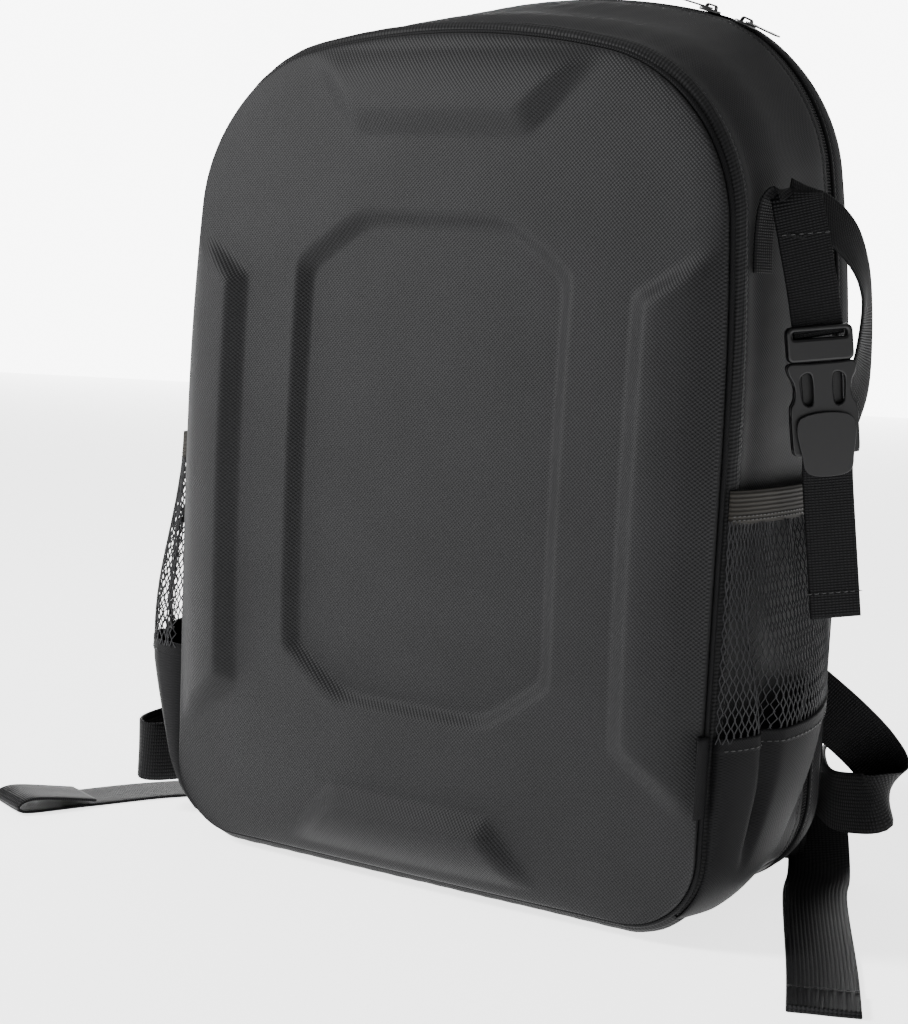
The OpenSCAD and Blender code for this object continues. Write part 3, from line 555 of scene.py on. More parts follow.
def make_materials(sizes, tints):
    """Every finish of the case, named for the real material."""
    # the cloths, webbing, elastic and air mesh get painted shade in their relief's hollows and a painted highlight
    # on its crests from dress; the other finishes get only a random grain tone
    pitch, web = sizes.weave / MM, sizes.web_weave / MM
    # matt dark cloth with a painted highlight on each crossing of its threads and painted shade between them
    made, tree, shader = surface("Oxford polyester cloth", tints.cloth, 0.6, sheen=0.01, specular=0.14)
    dress(tree, shader, threads(tree, pitch, pitch), tints.cloth, 0.2, 1.8, 0.24)
    MATERIALS["cloth"] = made
    # the same cloth cut on the bias, so its ribs run aslant round the rolled edge
    made, tree, shader = surface("Oxford cloth on the bias", tints.cloth, 0.62, sheen=0.01, specular=0.12)
    dress(tree, shader, threads(tree, pitch * 1.2, pitch * 1.6, math.radians(38)), tints.cloth,
          0.35, 1.3, 0.35)
    MATERIALS["bias"] = made
    # denser, darker cloth that hardly shows its threads
    made, tree, shader = surface("Dense nylon cloth", tints.trim, 0.58, sheen=0.0, specular=0.07)
    dress(tree, shader, threads(tree, pitch * 0.75, pitch * 0.75), tints.trim, 0.6, 1.35, 0.16)
    MATERIALS["trim"] = made
    # ridged strap with a slight shine painted along its ridges and painted shade between them
    made, tree, shader = surface("Woven polyester webbing", tints.webbing, 0.55, sheen=0.0, specular=0.08)
    dress(tree, shader, columns(tree, web * 1.4, web * 0.95), tints.webbing, 0.35, 2.0, 0.4)
    MATERIALS["webbing"] = made
    # brown-grey band with fine lengthwise ribs
    made, tree, shader = surface("Ribbed elastic", tints.elastic, 0.7, sheen=0.0, specular=0.12)
    dress(tree, shader, ribs(tree, 2.2), tints.elastic, 0.55, 1.2, 0.35)
    MATERIALS["elastic"] = made
    # shiny thin strands that catch light at their knots
    made, tree, shader = surface("Knitted polyester net", tints.net, 0.45, specular=0.2)
    dress(tree, shader, grain(tree, 900.0), tints.net, 0.6, 1.4, 0.1)
    MATERIALS["net"] = made
    # two layers of knitted holes over soft foam, with painted shade in the holes and a painted highlight on the
    # knitted strands
    made, tree, shader = surface("Spacer air mesh", tints.pad, 0.8, sheen=0.02, specular=0.15)
    place = node(tree, "ShaderNodeTexCoord").outputs["Object"]
    cells = node(tree, "ShaderNodeTexVoronoi", {"Vector": place, "Scale": 380.0, "Randomness": 0.25},
                 feature="DISTANCE_TO_EDGE")
    knit = node(tree, "ShaderNodeMapRange", {"Value": cells.outputs[0], "From Min": 0.02, "From Max": 0.22,
                                             "To Min": 1.0, "To Max": 0.0})
    dress(tree, shader, knit.outputs[0], tints.pad, 0.3, 1.5, 0.5)
    MATERIALS["pad"] = made
    # smooth thin cloth, lighter than the outside
    made, tree, shader = surface("Brushed lining", tints.lining, 0.85, sheen=0.3, specular=0.3)
    dress(tree, shader, grain(tree, 1400.0), tints.lining, 0.75, 1.25, 0.08)
    MATERIALS["lining"] = made
    # closed cells, a little lighter on cut faces
    made, tree, shader = surface("Closed-cell foam", tints.foam, 0.95, sheen=0.15, specular=0.2)
    dress(tree, shader, grain(tree, 700.0, 8.0), tints.foam, 0.7, 1.35, 0.25)
    MATERIALS["foam"] = made
    # spark-eroded moulded plastic with a soft highlight on its edges
    made, tree, shader = surface("Moulded acetal", tints.plastic, 0.34, specular=0.25)
    dress(tree, shader, grain(tree, 2200.0), tints.plastic, 0.8, 1.2, 0.03, mottling=0.05)
    MATERIALS["plastic"] = made
    # enamel on die-cast metal
    made, tree, shader = surface("Black enamel", tints.metal, 0.3, coat=0.4)
    dress(tree, shader, grain(tree, 500.0), tints.metal, 0.85, 1.2, 0.02, mottling=0.05)
    shader.inputs["Metallic"].default_value = 0.35
    MATERIALS["metal"] = made
    # sewing thread, slightly lighter than what it sews
    made, tree, shader = surface("Bonded thread", tints.webbing, 0.5, sheen=0.2)
    dress(tree, shader, grain(tree, 3000.0), tints.webbing, 0.8, 1.9, 0.05)
    MATERIALS["thread"] = made


# ---- stitches, gathered by body as the pieces are made ----
SEAMS = {}


def stitch(body, path, closed=False):
    SEAMS.setdefault(body, []).append((np.asarray(path, float), closed))


def along(stations, width, thick, u, start=0.0, end=1.0, lift=0.35):
    """A row of stitches on a strap: u across its width from -1 to 1, between two shares of its length."""
    path = smooth_path(stations, 1.5)
    _, wide, up = frames(path)
    part = slice(int(start * (len(path) - 1)), int(end * (len(path) - 1)) + 1)
    return (path[:, :3] + wide * u * width / 2 + up * (thick / 2 + lift))[part]


# ---- front shell ----
def octagon_distance(x, z):
    """Distance outside the octagon's lip, below zero inside, with soft corners."""
    a, b = np.abs(x), np.abs(z)
    sides = np.stack([a - 84.6, b - 133.8, 0.571 * a + 0.821 * b - 136.2])
    return np.log(np.exp(sides * 0.45).sum(0)) / 0.45 - 0.4


def panel_height(x, z):
    """Height of the raised panels over the dome, 0 to 1."""
    def meet(*parts):  # the least of several slopes, with a soft corner
        parts = np.stack(np.broadcast_arrays(*parts))
        return -np.log(np.exp(-parts * 14).sum(0)) / 14

    a = np.abs(x)
    low, high = OCT_MID - 136, OCT_MID + 101
    side = ramp(meet((a - 119) / 13.5, ((high - 2 + (a - 119) * 0.667) - z) * 0.832 / 12,
                     (z - (low + 2 - (a - 119) * 0.755)) * 0.798 / 12), 0.24)
    side = side * np.clip(1 - (np.maximum(0, a - 134) / 31) ** 1.7, 0, 1)
    foot = OCT_MID + 174
    crown = ramp(meet((z - foot) / 16, -(0.736 * (a - 54) - 0.677 * (z - foot)) / 14), 0.26)
    crown = crown * np.clip(1 - (np.maximum(0, z - foot - 19) / 28) ** 1.8, 0, 1)
    head = OCT_MID - 178.6
    base = ramp(meet((head - z) / 16, -(0.767 * (a - 52.5) + 0.641 * (z - head)) / 14), 0.26)
    base = base * np.clip(1 - (np.maximum(0, head - 19 - z) / 20) ** 1.8, 0, 1)
    return np.maximum(side, 0) + np.maximum(crown, 0) * 0.9 + np.maximum(base, 0) * 0.9


class CASE_OT_shell(bpy.types.Operator):
    """Builds the moulded front shell with its octagon, raised panels and rolled rim"""
    bl_idname = "drone_case.shell"
    bl_label = "Front shell"

    def execute(self, context):
        sizes = context.scene.case_sizes
        loop, normal = outline(*SHELL_OUTLINE)
        reach = sizes.rim_radius / MM
        middle = np.array([0, OCT_MID])
        insets = (0, 0.25, 0.6, 1.1, 1.8, 2.7, 3.8, 5.1, 6.6, 8.3, 10.2, 12.3, 14.6, 17)
        rims = [(d, loop - normal * d) for d in insets]
        inner = loop - normal * 17
        rows = [np.stack([loop[:, 0], np.full(LOOP, SEAM + 0.6), loop[:, 1]], 1)]
        for d, ring in rims + [(99, middle + (inner - middle) * f) for f in np.linspace(0.99, 0.02, 108)]:
            x, z = ring.T
            share = np.clip((reach - d) / reach, 0, 1)
            back = 1 - (1 - share ** 2.6) ** (1 / 2.6)
            face = FACE + 6.1 * (x / 126) ** 2 + 8.8 * ((z - OCT_MID) / 189) ** 2
            face += sizes.octagon_depth / MM * ramp(-(octagon_distance(x, z - OCT_MID) - 2.5) / 10, 0.26)
            face -= sizes.panel_height / MM * panel_height(x, z) * (1 - back)
            face += 0.12 * ripple(x, z, 160)
            rows.append(np.stack([x, face + back * (SEAM - 2 - face), z], 1))
        outer = np.array(rows)
        lining = []
        for f in np.linspace(0.98, 0.03, 16)[::-1]:
            x, z = (middle + (loop - middle) * f).T
            face = FACE + 4.5 + 6.1 * (x / 126) ** 2 + 8.8 * ((z - OCT_MID) / 189) ** 2
            face += sizes.octagon_depth / MM * ramp(-(octagon_distance(x, z - OCT_MID) - 4) / 11.5)
            lining.append(np.stack([x, np.minimum(face, SEAM + 0.5), z], 1))
        points = np.concatenate([np.array(lining), outer])
        flat = points[..., [0, 2]]
        uv = np.concatenate([flat, flat[:, :1]], 1)
        data = grid("moulded_shell", points, uv, (False, True), (True, True))
        finish_mesh("moulded_shell", data, MATERIALS["cloth"], "case", ["front_shell"])
        cord = loop + normal * 0.9
        path = np.stack([cord[:, 0], np.full(LOOP, SEAM + 1.7), cord[:, 1]], 1)
        data = tube("seam_piping", path, 1.55, 10, True)
        finish_mesh("seam_piping", data, MATERIALS["trim"], "case", ["front_piping"])
        return {"FINISHED"}


# ---- gusset, base and lining ----
def slack(run, y, out):
    """How the gusset's padded cloth stands in and out between its seams."""
    if out < -1.8:
        return 0
    free = np.clip((y - SEAM - 16) / 10, 0, 1) * np.clip((ZIP - 7 - y) / 10, 0, 1)
    roll = 1.5 * bell(y, SEAM + 9, 5) - 1.6 * bell(y, SEAM + 26, 9) + 1.1 * bell(y, SEAM + 52, 16)
    return roll + free * 0.55 * ripple(run, y * 1.6, 90) + 0.16 * ripple(run * 3, y, 40, 3)


GUSSET = ([(-5, SEAM + 14), (-6, SEAM + 4.4), (-4, SEAM + 3.6), (-2.4, SEAM + 3.7), (-1.3, SEAM + 4.5),
           (-0.7, SEAM + 6), (-0.3, SEAM + 8.5), (-0.2, SEAM + 11), (-0.5, SEAM + 13.6), (-1, SEAM + 15.4),
           (-1.5, SEAM + 16.4), (-1, SEAM + 17.4), (-0.6, SEAM + 19.5)]
          + [(-0.5, y) for y in np.arange(SEAM + 22, ZIP - 8, 3)]
          + [(-0.6, ZIP - 7.4), (-1.5, ZIP - 6.2), (-0.7, ZIP - 5), (-0.5, ZIP - 2.5), (-0.8, ZIP - 0.6),
             (-2, ZIP), (-5, ZIP), (-5, ZIP - 30), (-5, SEAM + 50)])


class CASE_OT_gusset(bpy.types.Operator):
    """Builds the padded cloth round the case's sides, its base panel, rolled edge and lining"""
    bl_idname = "drone_case.gusset"
    bl_label = "Gusset and base"

    def execute(self, context):
        points, uv = round_case(GUSSET, BASE_END, LOOP - BASE_END, slack)
        data = grid("gusset_cloth", points, np.concatenate([uv, uv[:, :1]], 1), (False, True), (True, True))
        piece = finish_mesh("gusset_cloth", data, MATERIALS["cloth"], "case", ["gusset"])
        paint_band(piece, lambda y: SEAM + 2 < y < SEAM + 17.6, "bias")
        points, uv = round_case(GUSSET, -BASE_END, BASE_END, slack)
        data = grid("base_cloth", points, np.concatenate([uv, uv[:, :1]], 1), (False, True), (True, True))
        piece = finish_mesh("base_cloth", data, MATERIALS["trim"], "case", ["base_panel"])
        paint_band(piece, lambda y: SEAM + 2 < y < SEAM + 17.6, "bias")
        for y, out in ((SEAM + 16.4, -1.3), (ZIP - 6.2, -1.3)):
            loop, normal = section(y)
            run = lengths(loop, True)[:-1]
            p = loop + normal * (out + 0.35 + slack(run, y, 0))[:, None]
            index = np.arange(BASE_END, LOOP - BASE_END)
            stitch("case", np.stack([p[:, 0], np.full(LOOP, y), p[:, 1]], 1)[index])
        profile = [(-6.7, SEAM + 35), (-6.7, ZIP - 2), (-7.6, ZIP - 1.4), (-8, ZIP - 4), (-8, SEAM + 35)]
        points, uv = round_case(profile, 0, LOOP - 1)
        uv = np.concatenate([uv, uv[:, :1]], 1)
        uv = np.concatenate([uv, uv[:1] + [0, 1500]], 0)
        data = grid("gusset_lining_cloth", points, uv, (True, True))
        finish_mesh("gusset_lining_cloth", data, MATERIALS["lining"], "case", ["gusset_lining"])
        seam_label()
        return {"FINISHED"}


def paint_band(piece, inside, kind):
    """Gives the faces between two depths another cut of cloth."""
    piece.data.materials.append(MATERIALS[kind])
    for face in piece.data.polygons:
        if inside(face.center.y / MM):
            face.material_index = 1


def seam_label():
    """A small blank label folded into the right seam."""
    lo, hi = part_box("side_tag")
    x, z0, z1 = lo.x / MM - 0.8, lo.z / MM - 4, hi.z / MM - 4
    stations = [((x + 0.3 + 0.4 * math.sin(t * 2), SEAM - 4.4 + 0.4 * math.cos(t * 3), z0 + (z1 - z0) * t),
                 (-0.12, -1, 0.03)) for t in np.linspace(0, 1, 7)]
    data = strap("seam_label", stations, 10.5, 0.8, 2.0, 0.1, across=7)
    finish_mesh("seam_label", data, MATERIALS["trim"], "case", ["side_tag"])


# ---- zip ----
def zip_loop(out, y, first=BASE_END + 8, last=LOOP - BASE_END - 8):
    loop, normal = section(ZIP + 1)
    p = (loop + normal * out)[first:last]
    return np.stack([p[:, 0], np.full(len(p), y), p[:, 1]], 1)


class CASE_OT_zip(bpy.types.Operator):
    """Builds both zip tapes with their coils, the sliders and the pulls"""
    bl_idname = "drone_case.zip"
    bl_label = "Zip"

    def execute(self, context):
        sizes = context.scene.case_sizes
        beads = bead_tree()
        middle = (ZIP + DOOR) / 2
        for name, body, node_name, side in (("zip_tape_case", "case", "zip_case", -1),
                                            ("zip_tape_door", "back_door", "zip_door", 1)):
            sewn, coil = middle + side * 3.4, middle + side * 0.25
            profile = [(-2.7, sewn), (-2.5, (sewn + coil) / 2), (-2.7, coil), (-4.2, coil), (-4.2, sewn)]
            points, uv = round_case(profile, 1, LOOP - 1)
            data = grid(name, points, np.concatenate([uv, uv[:, :1]], 1), (False, True), (True, True))
            finish_mesh(name, data, MATERIALS["trim"], body, [node_name])
            rows = [(zip_loop(-1.9, middle + side * 1.15, 2, LOOP - 2), False)]
            data = grow(name + "_coil", rows, beads, {
                "Spacing": sizes.tooth_pitch, "Size": (0.00115, 0.0021, 0.0019), "Turn about Y": True,
                "Material": MATERIALS["plastic"]})
            finish_mesh(name + "_coil", data, None, body)
        for side in ("r", "l"):
            slider(side)
        return {"FINISHED"}


def slider(side):
    """A slider's body with its bridge, and the pull that hangs on it."""
    lo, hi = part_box("slider_" + side)
    mid = (lo + hi) / 2 / MM
    tab_lo, tab_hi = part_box("pull_" + side)
    away = (tab_lo + tab_hi) / 2 / MM - mid
    lean = math.atan2(away.z, abs(away.x))
    sign = 1 if away.x > 0 else -1
    # local X runs to the pull, Z stands off the tape
    turn = Matrix.Translation(mid * MM) @ Matrix.Rotation(-lean * sign, 4, "Y")
    body = [(-5, -4.2), (5, -3), (5, 3), (-5, 4.2)]
    flat = Matrix.Rotation(-math.pi / 2, 4, "X")
    parts = [plate("body", soft_ring(body, 40), (), 1.8, 0.5,
                   turn @ Matrix.Translation((0, 0, -1.4 * MM)) @ flat),
             plate("bridge", [(-3.8, -0.6), (-3.4, 1.4), (-2.4, 2.3), (2.4, 2.3), (3.4, 1.4), (3.8, -0.6),
                              (2.7, -0.6), (2.2, 1.2), (-2.2, 1.2), (-2.7, -0.6)], (), 3.0, 0.35, turn)]
    finish_mesh("slider_body_" + side, join("slider", parts), MATERIALS["metal"], "zip_slider_" + side,
                ["slider_" + side])
    outer = rounded(21, 7.6, 2.2, 10.6)
    holes = [rounded(6.6, 4.4, 1.2, 4.2), soft_ring([(15.2, 0), (17, 1.4), (18.6, 0), (17, -1.4)], 20)]
    reach = math.hypot(away.x, away.z)
    data = plate("pull", outer, holes, 1.0, 0.3, Matrix.Identity(4))
    data.transform(Matrix.Rotation(-math.pi / 2, 4, "X"))
    data.transform(Matrix.Translation(((reach - 10.6) * MM, 0, 0)))
    if sign < 0:
        data.transform(Matrix.Rotation(math.pi, 4, "Z"))
    data.transform(Matrix.Translation(mid * MM) @ Matrix.Rotation(-lean * sign, 4, "Y"))
    finish_mesh("pull_tab_" + side, data, MATERIALS["metal"], "zip_pull_" + side, ["pull_" + side])


# ---- side pockets ----
# depths of a pocket's two ends, heights of its foot, net, rim and band, and how far each stands out
POCKET = dict(y0=SEAM + 3, y1=ZIP - 3, foot=16, gore=112, top=238, band=17, bulge=27, band_bulge=9)


def case_side(y, z):
    """The gusset's half width at a depth and height, round its lower corner."""
    t = np.clip((y - SEAM) / (ZIP - SEAM), 0, 1)
    r, foot = 44 + 12 * t, 6 * (1 - np.clip((y - SEAM) / 34, 0, 1)) ** 2
    drop = np.clip(foot + r - z, 0, r)
    return 172 - t - r + np.sqrt(r * r - drop * drop)


def pocket_form(t, z, out=0.0, left=False):
    """A point of the pocket's wall: t from 0 at the seam to 1 at the back, z before its tilt."""
    k = POCKET
    t, z = np.asarray(t, float), np.asarray(z, float)
    net_top = k["top"] - k["band"]
    up = np.clip((z - k["gore"]) / (net_top - k["gore"]), 0, 1)
    down = np.clip((z - k["foot"]) / (k["gore"] - k["foot"]), 0, 1)
    high = k["band_bulge"] + (k["bulge"] - k["band_bulge"]) * (1 - up * up * (2.2 - 1.2 * up))
    bulge = np.where(z > k["gore"], high, 3 + (k["bulge"] - 3) * np.sin(math.pi / 2 * down))
    tilt = np.where(z > k["gore"], 1 - up, down)
    back = k["y1"] - 50 * (1 - np.where(z < k["gore"], down, 1))
    swell = np.clip(np.sin(math.pi * (t ** 0.6 if left else t)), 0, 1) ** (0.45 if left else 0.55)
    bulge = bulge + (10 * np.clip((z - 40) / 60, 0, 1) * bell(z, 130, 90) if left else 0)
    gather = np.sin(math.pi * np.clip(t, 0, 1)) * (
        1.5 * np.sin(t * 33 + 0.6) * bell(z, net_top, 42) * (z <= net_top)
        + 1.3 * ripple(t * 90, z, 70, 11) * (1 - bell(z, k["top"], 12)))
    pleat = -7.0 * bell(t, 0.13 + 0.10 * np.clip((175 - z) / 90, 0, 1), 0.035) * np.clip((196 - z) / 40, 0, 1) \
        * np.clip((z - 40) / 30, 0, 1)
    y, level = k["y0"] + (back - k["y0"]) * t, z + 16 * tilt * t
    wall = case_side(y, level) + 0.5
    x = wall + (bulge + out) * swell + (gather + pleat) * (z < net_top + 1)
    return np.stack(np.broadcast_arrays(np.maximum(x, wall + out * 0.5 * swell), y, level), -1)


def pocket_sheet(name, z0, z1, rows, thick, flare=0.0, left=False):
    """A closed sheet of the pocket's wall between two heights."""
    t = np.linspace(0, 1, 72)
    z = np.linspace(z0, z1, rows)
    out = pocket_form(t[None, :], z[:, None], flare, left)
    inside = out.copy()
    inside[..., 0] = np.maximum(inside[..., 0] - thick, case_side(out[..., 1], out[..., 2]) + 0.15)
    inside[:, 0, 1] += 0.6
    inside[:, -1, 1] -= 0.6
    points = np.concatenate([out, inside[:, ::-1]], 1)
    run = lengths(out[0])
    u = np.concatenate([run, run[::-1], run[:1]])
    uv = np.stack(np.broadcast_arrays(u[None, :], z[:, None]), -1)
    ends = [np.stack([points[k, :72], points[k, 72:][::-1]]) for k in (0, -1)]
    body = grid(name, points, uv, (False, True))
    flat = np.stack(np.broadcast_arrays(run[None, :], np.array([0, thick])[:, None]), -1)
    return weld(name, [body] + [grid(name, e, flat) for e in ends])


def weld(name, parts):
    data = join(name, parts)
    whole = bmesh.new()
    whole.from_mesh(data)
    bmesh.ops.remove_doubles(whole, verts=whole.verts, dist=1e-5)
    whole.to_mesh(data)
    whole.free()
    return data


def mirrored(data):
    """The same mesh on the left, with its own copy."""
    other = data.copy()
    other.transform(Matrix.Scale(-1, 4, (1, 0, 0)))
    return other


def net_paths(cell, left=False):
    """Zigzag strands that touch at their knots, over the pocket between gore and elastic."""
    low, high = POCKET["gore"] - 2, POCKET["top"] - POCKET["band"] + 2
    rows = int((high - low) / (cell * 0.78)) + 1
    z = np.linspace(low, high, rows)
    columns = int(190 / cell)
    span = pocket_form(np.linspace(0, 1, 300), 150.0, 0, left)
    run = lengths(span)
    share = lambda k: np.interp(np.clip(k / columns, 0, 1) * run[-1], run, np.linspace(0, 1, 300))
    paths = []
    for k in range(columns):
        for side in (0, 1):
            steps = k + np.where(np.arange(rows) % 2, 0.5 + (0.5 - side) * 0.14, side + (0.5 - side) * 0.14)
            paths.append((pocket_form(share(steps), z, -0.8, left), False))
    return paths


class CASE_OT_pockets(bpy.types.Operator):
    """Builds both side pockets: knitted net, ribbed elastic and cloth gore"""
    bl_idname = "drone_case.pockets"
    bl_label = "Side pockets"

    def execute(self, context):
        sizes = context.scene.case_sizes
        k = POCKET
        for side in ("r", "l"):
            left = side == "l"
            swap = mirrored if left else (lambda d: d)
            net = grow("net", net_paths(sizes.net_cell / MM, left), strand_tree(), {
                "Radius": sizes.net_strand / 2, "Material": MATERIALS["net"]})
            finish_mesh("pocket_net_" + side, swap(net), None, "case", ["pocket_mesh_" + side])
            band = pocket_sheet("elastic", k["top"] - k["band"] + 0.1, k["top"], 12, 2.2, 0, left)
            finish_mesh("pocket_band_" + side, swap(band), MATERIALS["elastic"], "case",
                        ["pocket_elastic_" + side])
            gore = pocket_sheet("gore", k["foot"], k["gore"], 40, 1.8, 0, left)
            finish_mesh("pocket_cloth_" + side, swap(gore), MATERIALS["trim"], "case",
                        ["pocket_gore_" + side])
            hem = pocket_sheet("gore_hem", k["gore"] - 7, k["gore"] + 0.6, 6, 2.6, 0.7, left)
            finish_mesh("pocket_hem_" + side, swap(hem), MATERIALS["trim"], "case")
            flip = [-1 if left else 1, 1, 1]
            t = np.linspace(0.02, 0.98, 120)
            for z in (k["top"] - k["band"] + 2.2, k["top"] - k["band"] + 4.2):
                stitch("case", pocket_form(t, z, 0.25, left) * flip)
            stitch("case", pocket_form(t, k["gore"] - 5.6, 1.0, left) * flip)
        return {"FINISHED"}


# ---- pieces copied from the frame, and stuffed pieces ----
def box_uv(data):
    """A UV map in millimetres, each face seen along its main direction."""
    layer = data.uv_layers.get("UVMap") or data.uv_layers.new(name="UVMap")
    for face in data.polygons:
        n = face.normal
        axis = max(range(3), key=lambda k: abs(n[k]))
        a, b = [k for k in range(3) if k != axis]
        for k in face.loop_indices:
            co = data.vertices[data.loops[k].vertex_index].co
            layer.data[k].uv = (co[a] / MM, co[b] / MM)
    return data


def softened(source, bevel, segments=3):
    """A CAD node's mesh with its sharp edges rounded."""
    data = bpy.data.meshes.new(source)
    shape = bmesh.new()
    shape.from_mesh(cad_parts[source].data)
    bmesh.ops.remove_doubles(shape, verts=shape.verts, dist=2e-5)
    bmesh.ops.dissolve_limit(shape, angle_limit=0.01, verts=shape.verts, edges=shape.edges)
    sharp = [e for e in shape.edges if len(e.link_faces) == 2 and e.calc_face_angle(0) > 0.6]
    bmesh.ops.bevel(shape, geom=sharp, offset=bevel * MM, segments=segments, profile=0.5, affect="EDGES",
                    clamp_overlap=True)
    shape.to_mesh(data)
    shape.free()
    return box_uv(data)


def stuff(name, data, cap):
    """Swells a closed mesh as padding: cloth under pressure, each point held within a cap."""
    holder = bpy.data.objects.new(name, data)
    bpy.context.scene.collection.objects.link(holder)
    bpy.context.view_layer.objects.active = holder
    data.remesh_voxel_size = 5 * MM
    with bpy.context.temp_override(object=holder, active_object=holder, selected_objects=[holder]):
        bpy.ops.object.voxel_remesh()
    start = np.empty(len(data.vertices) * 3)
    data.vertices.foreach_get("co", start)
    cloth = holder.modifiers.new("Cloth", "CLOTH")
    cloth.settings.use_pressure = True
    cloth.settings.uniform_pressure_force = 4.0
    cloth.settings.effector_weights.gravity = 0.0
    scene = bpy.context.scene
    for step in range(1, 21):
        scene.frame_set(step)
    swollen = bpy.data.meshes.new_from_object(holder.evaluated_get(
        bpy.context.evaluated_depsgraph_get()))
    end = np.empty(len(swollen.vertices) * 3)
    swollen.vertices.foreach_get("co", end)
    holder.modifiers.remove(cloth)
    scene.frame_set(1)
    move = (end - start).reshape(-1, 3)
    size = np.linalg.norm(move, axis=1)[:, None]
    move *= np.minimum(1, cap / np.maximum(size, 1e-9))
    start = (start.reshape(-1, 3) + move).ravel()
    points = start.reshape(-1, 3)
    made = bpy.data.meshes.new(name)
    made.from_pydata(points.tolist(), [], [list(p.vertices) for p in data.polygons])
    holder.data = made
    smooth = holder.modifiers.new("Fine", "SUBSURF")
    smooth.levels = smooth.render_levels = 1
    result = bpy.data.meshes.new_from_object(holder.evaluated_get(bpy.context.evaluated_depsgraph_get()))
    bpy.data.objects.remove(holder)
    return result


def cushion(name, source, radius, channels, cap, material="pad"):
    """A padded panel on the case's back: crowned, pulled in at its edge and along its sewn channels."""
    lo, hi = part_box(source)
    lo, hi = lo / MM, hi / MM
    w, h, deep = hi.x - lo.x, hi.z - lo.z, hi.y - lo.y
    cx, cz = (lo.x + hi.x) / 2, (lo.z + hi.z) / 2
    ring = np.array(rounded(w - 3, h - 3, radius - 1.5, cx, cz, 10))
    middle = np.array([cx, cz])
    rows = []
    for inset, y in ((1, 0.2), (0.3, 1), (0, 2.2), (1.2, 3.6), (3.6, 4.6), (7, 5.2), (12, 5.5)):
        share = 1 - inset / (min(w, h) / 2)
        p = middle + (ring - middle) * share
        rows.append(np.stack([p[:, 0], np.full(len(p), lo.y + y), p[:, 1]], 1))
    for share in np.linspace(0.7, 0.04, 9):
        p = middle + (ring - middle) * share
        rows.append(np.stack([p[:, 0], np.full(len(p), lo.y + 5.5), p[:, 1]], 1))
    points = np.array(rows)
    data = grid(name, points, np.zeros((len(rows), len(ring) + 1, 2)), (False, True), (True, True))
    fix = bmesh.new()
    fix.from_mesh(data)
    bmesh.ops.recalc_face_normals(fix, faces=fix.faces)
    fix.to_mesh(data)
    fix.free()
    data = stuff(name, data, cap)
    co = np.empty(len(data.vertices) * 3)
    data.vertices.foreach_get("co", co)
    co = co.reshape(-1, 3) / MM
    front = np.clip((co[:, 1] - lo.y - 1.5) / 3, 0, 1)
    for a, b in channels:  # a sewn channel presses the padding down along a line
        a, b = np.array(a), np.array(b)
        flat = co[:, [0, 2]]
        t = np.clip(((flat - a) @ (b - a)) / ((b - a) @ (b - a)), 0, 1)
        gap = np.linalg.norm(flat - (a + t[:, None] * (b - a)), axis=1)
        co[:, 1] -= 3.2 * front * np.exp(-(gap / 3.4) ** 2)
    co[:, 1] = np.clip(co[:, 1], lo.y + 0.02, lo.y + deep + 3)
    data.vertices.foreach_set("co", (co * MM).ravel())
    box_uv(data)
    piece = finish_mesh(name, data, MATERIALS[material], "back_door", [source])
    edge_ring = np.array(rounded(w - 1.6, h - 1.6, radius - 0.8, cx, cz, 14))
    path = np.stack([edge_ring[:, 0], np.full(len(edge_ring), lo.y + 1.7), edge_ring[:, 1]], 1)
    path = resample(path, 160, True)
    finish_mesh(name + "_binding", tube(name + "_binding", path, 1.7, 8, True), MATERIALS["trim"],
                "back_door")
    for a, b in channels:
        line = np.linspace(a, b, 40)
        stitch("back_door", np.stack([line[:, 0], np.full(40, lo.y + 3.4), line[:, 1]], 1))


def sewn(body, a, b, y, lift=0.2):
    """A straight row of stitches on a flat face at depth y."""
    line = np.linspace(a, b, max(4, int(np.linalg.norm(np.subtract(a, b)) / 2)))
    stitch(body, np.stack([line[:, 0], np.full(len(line), y + lift), line[:, 1]], 1))


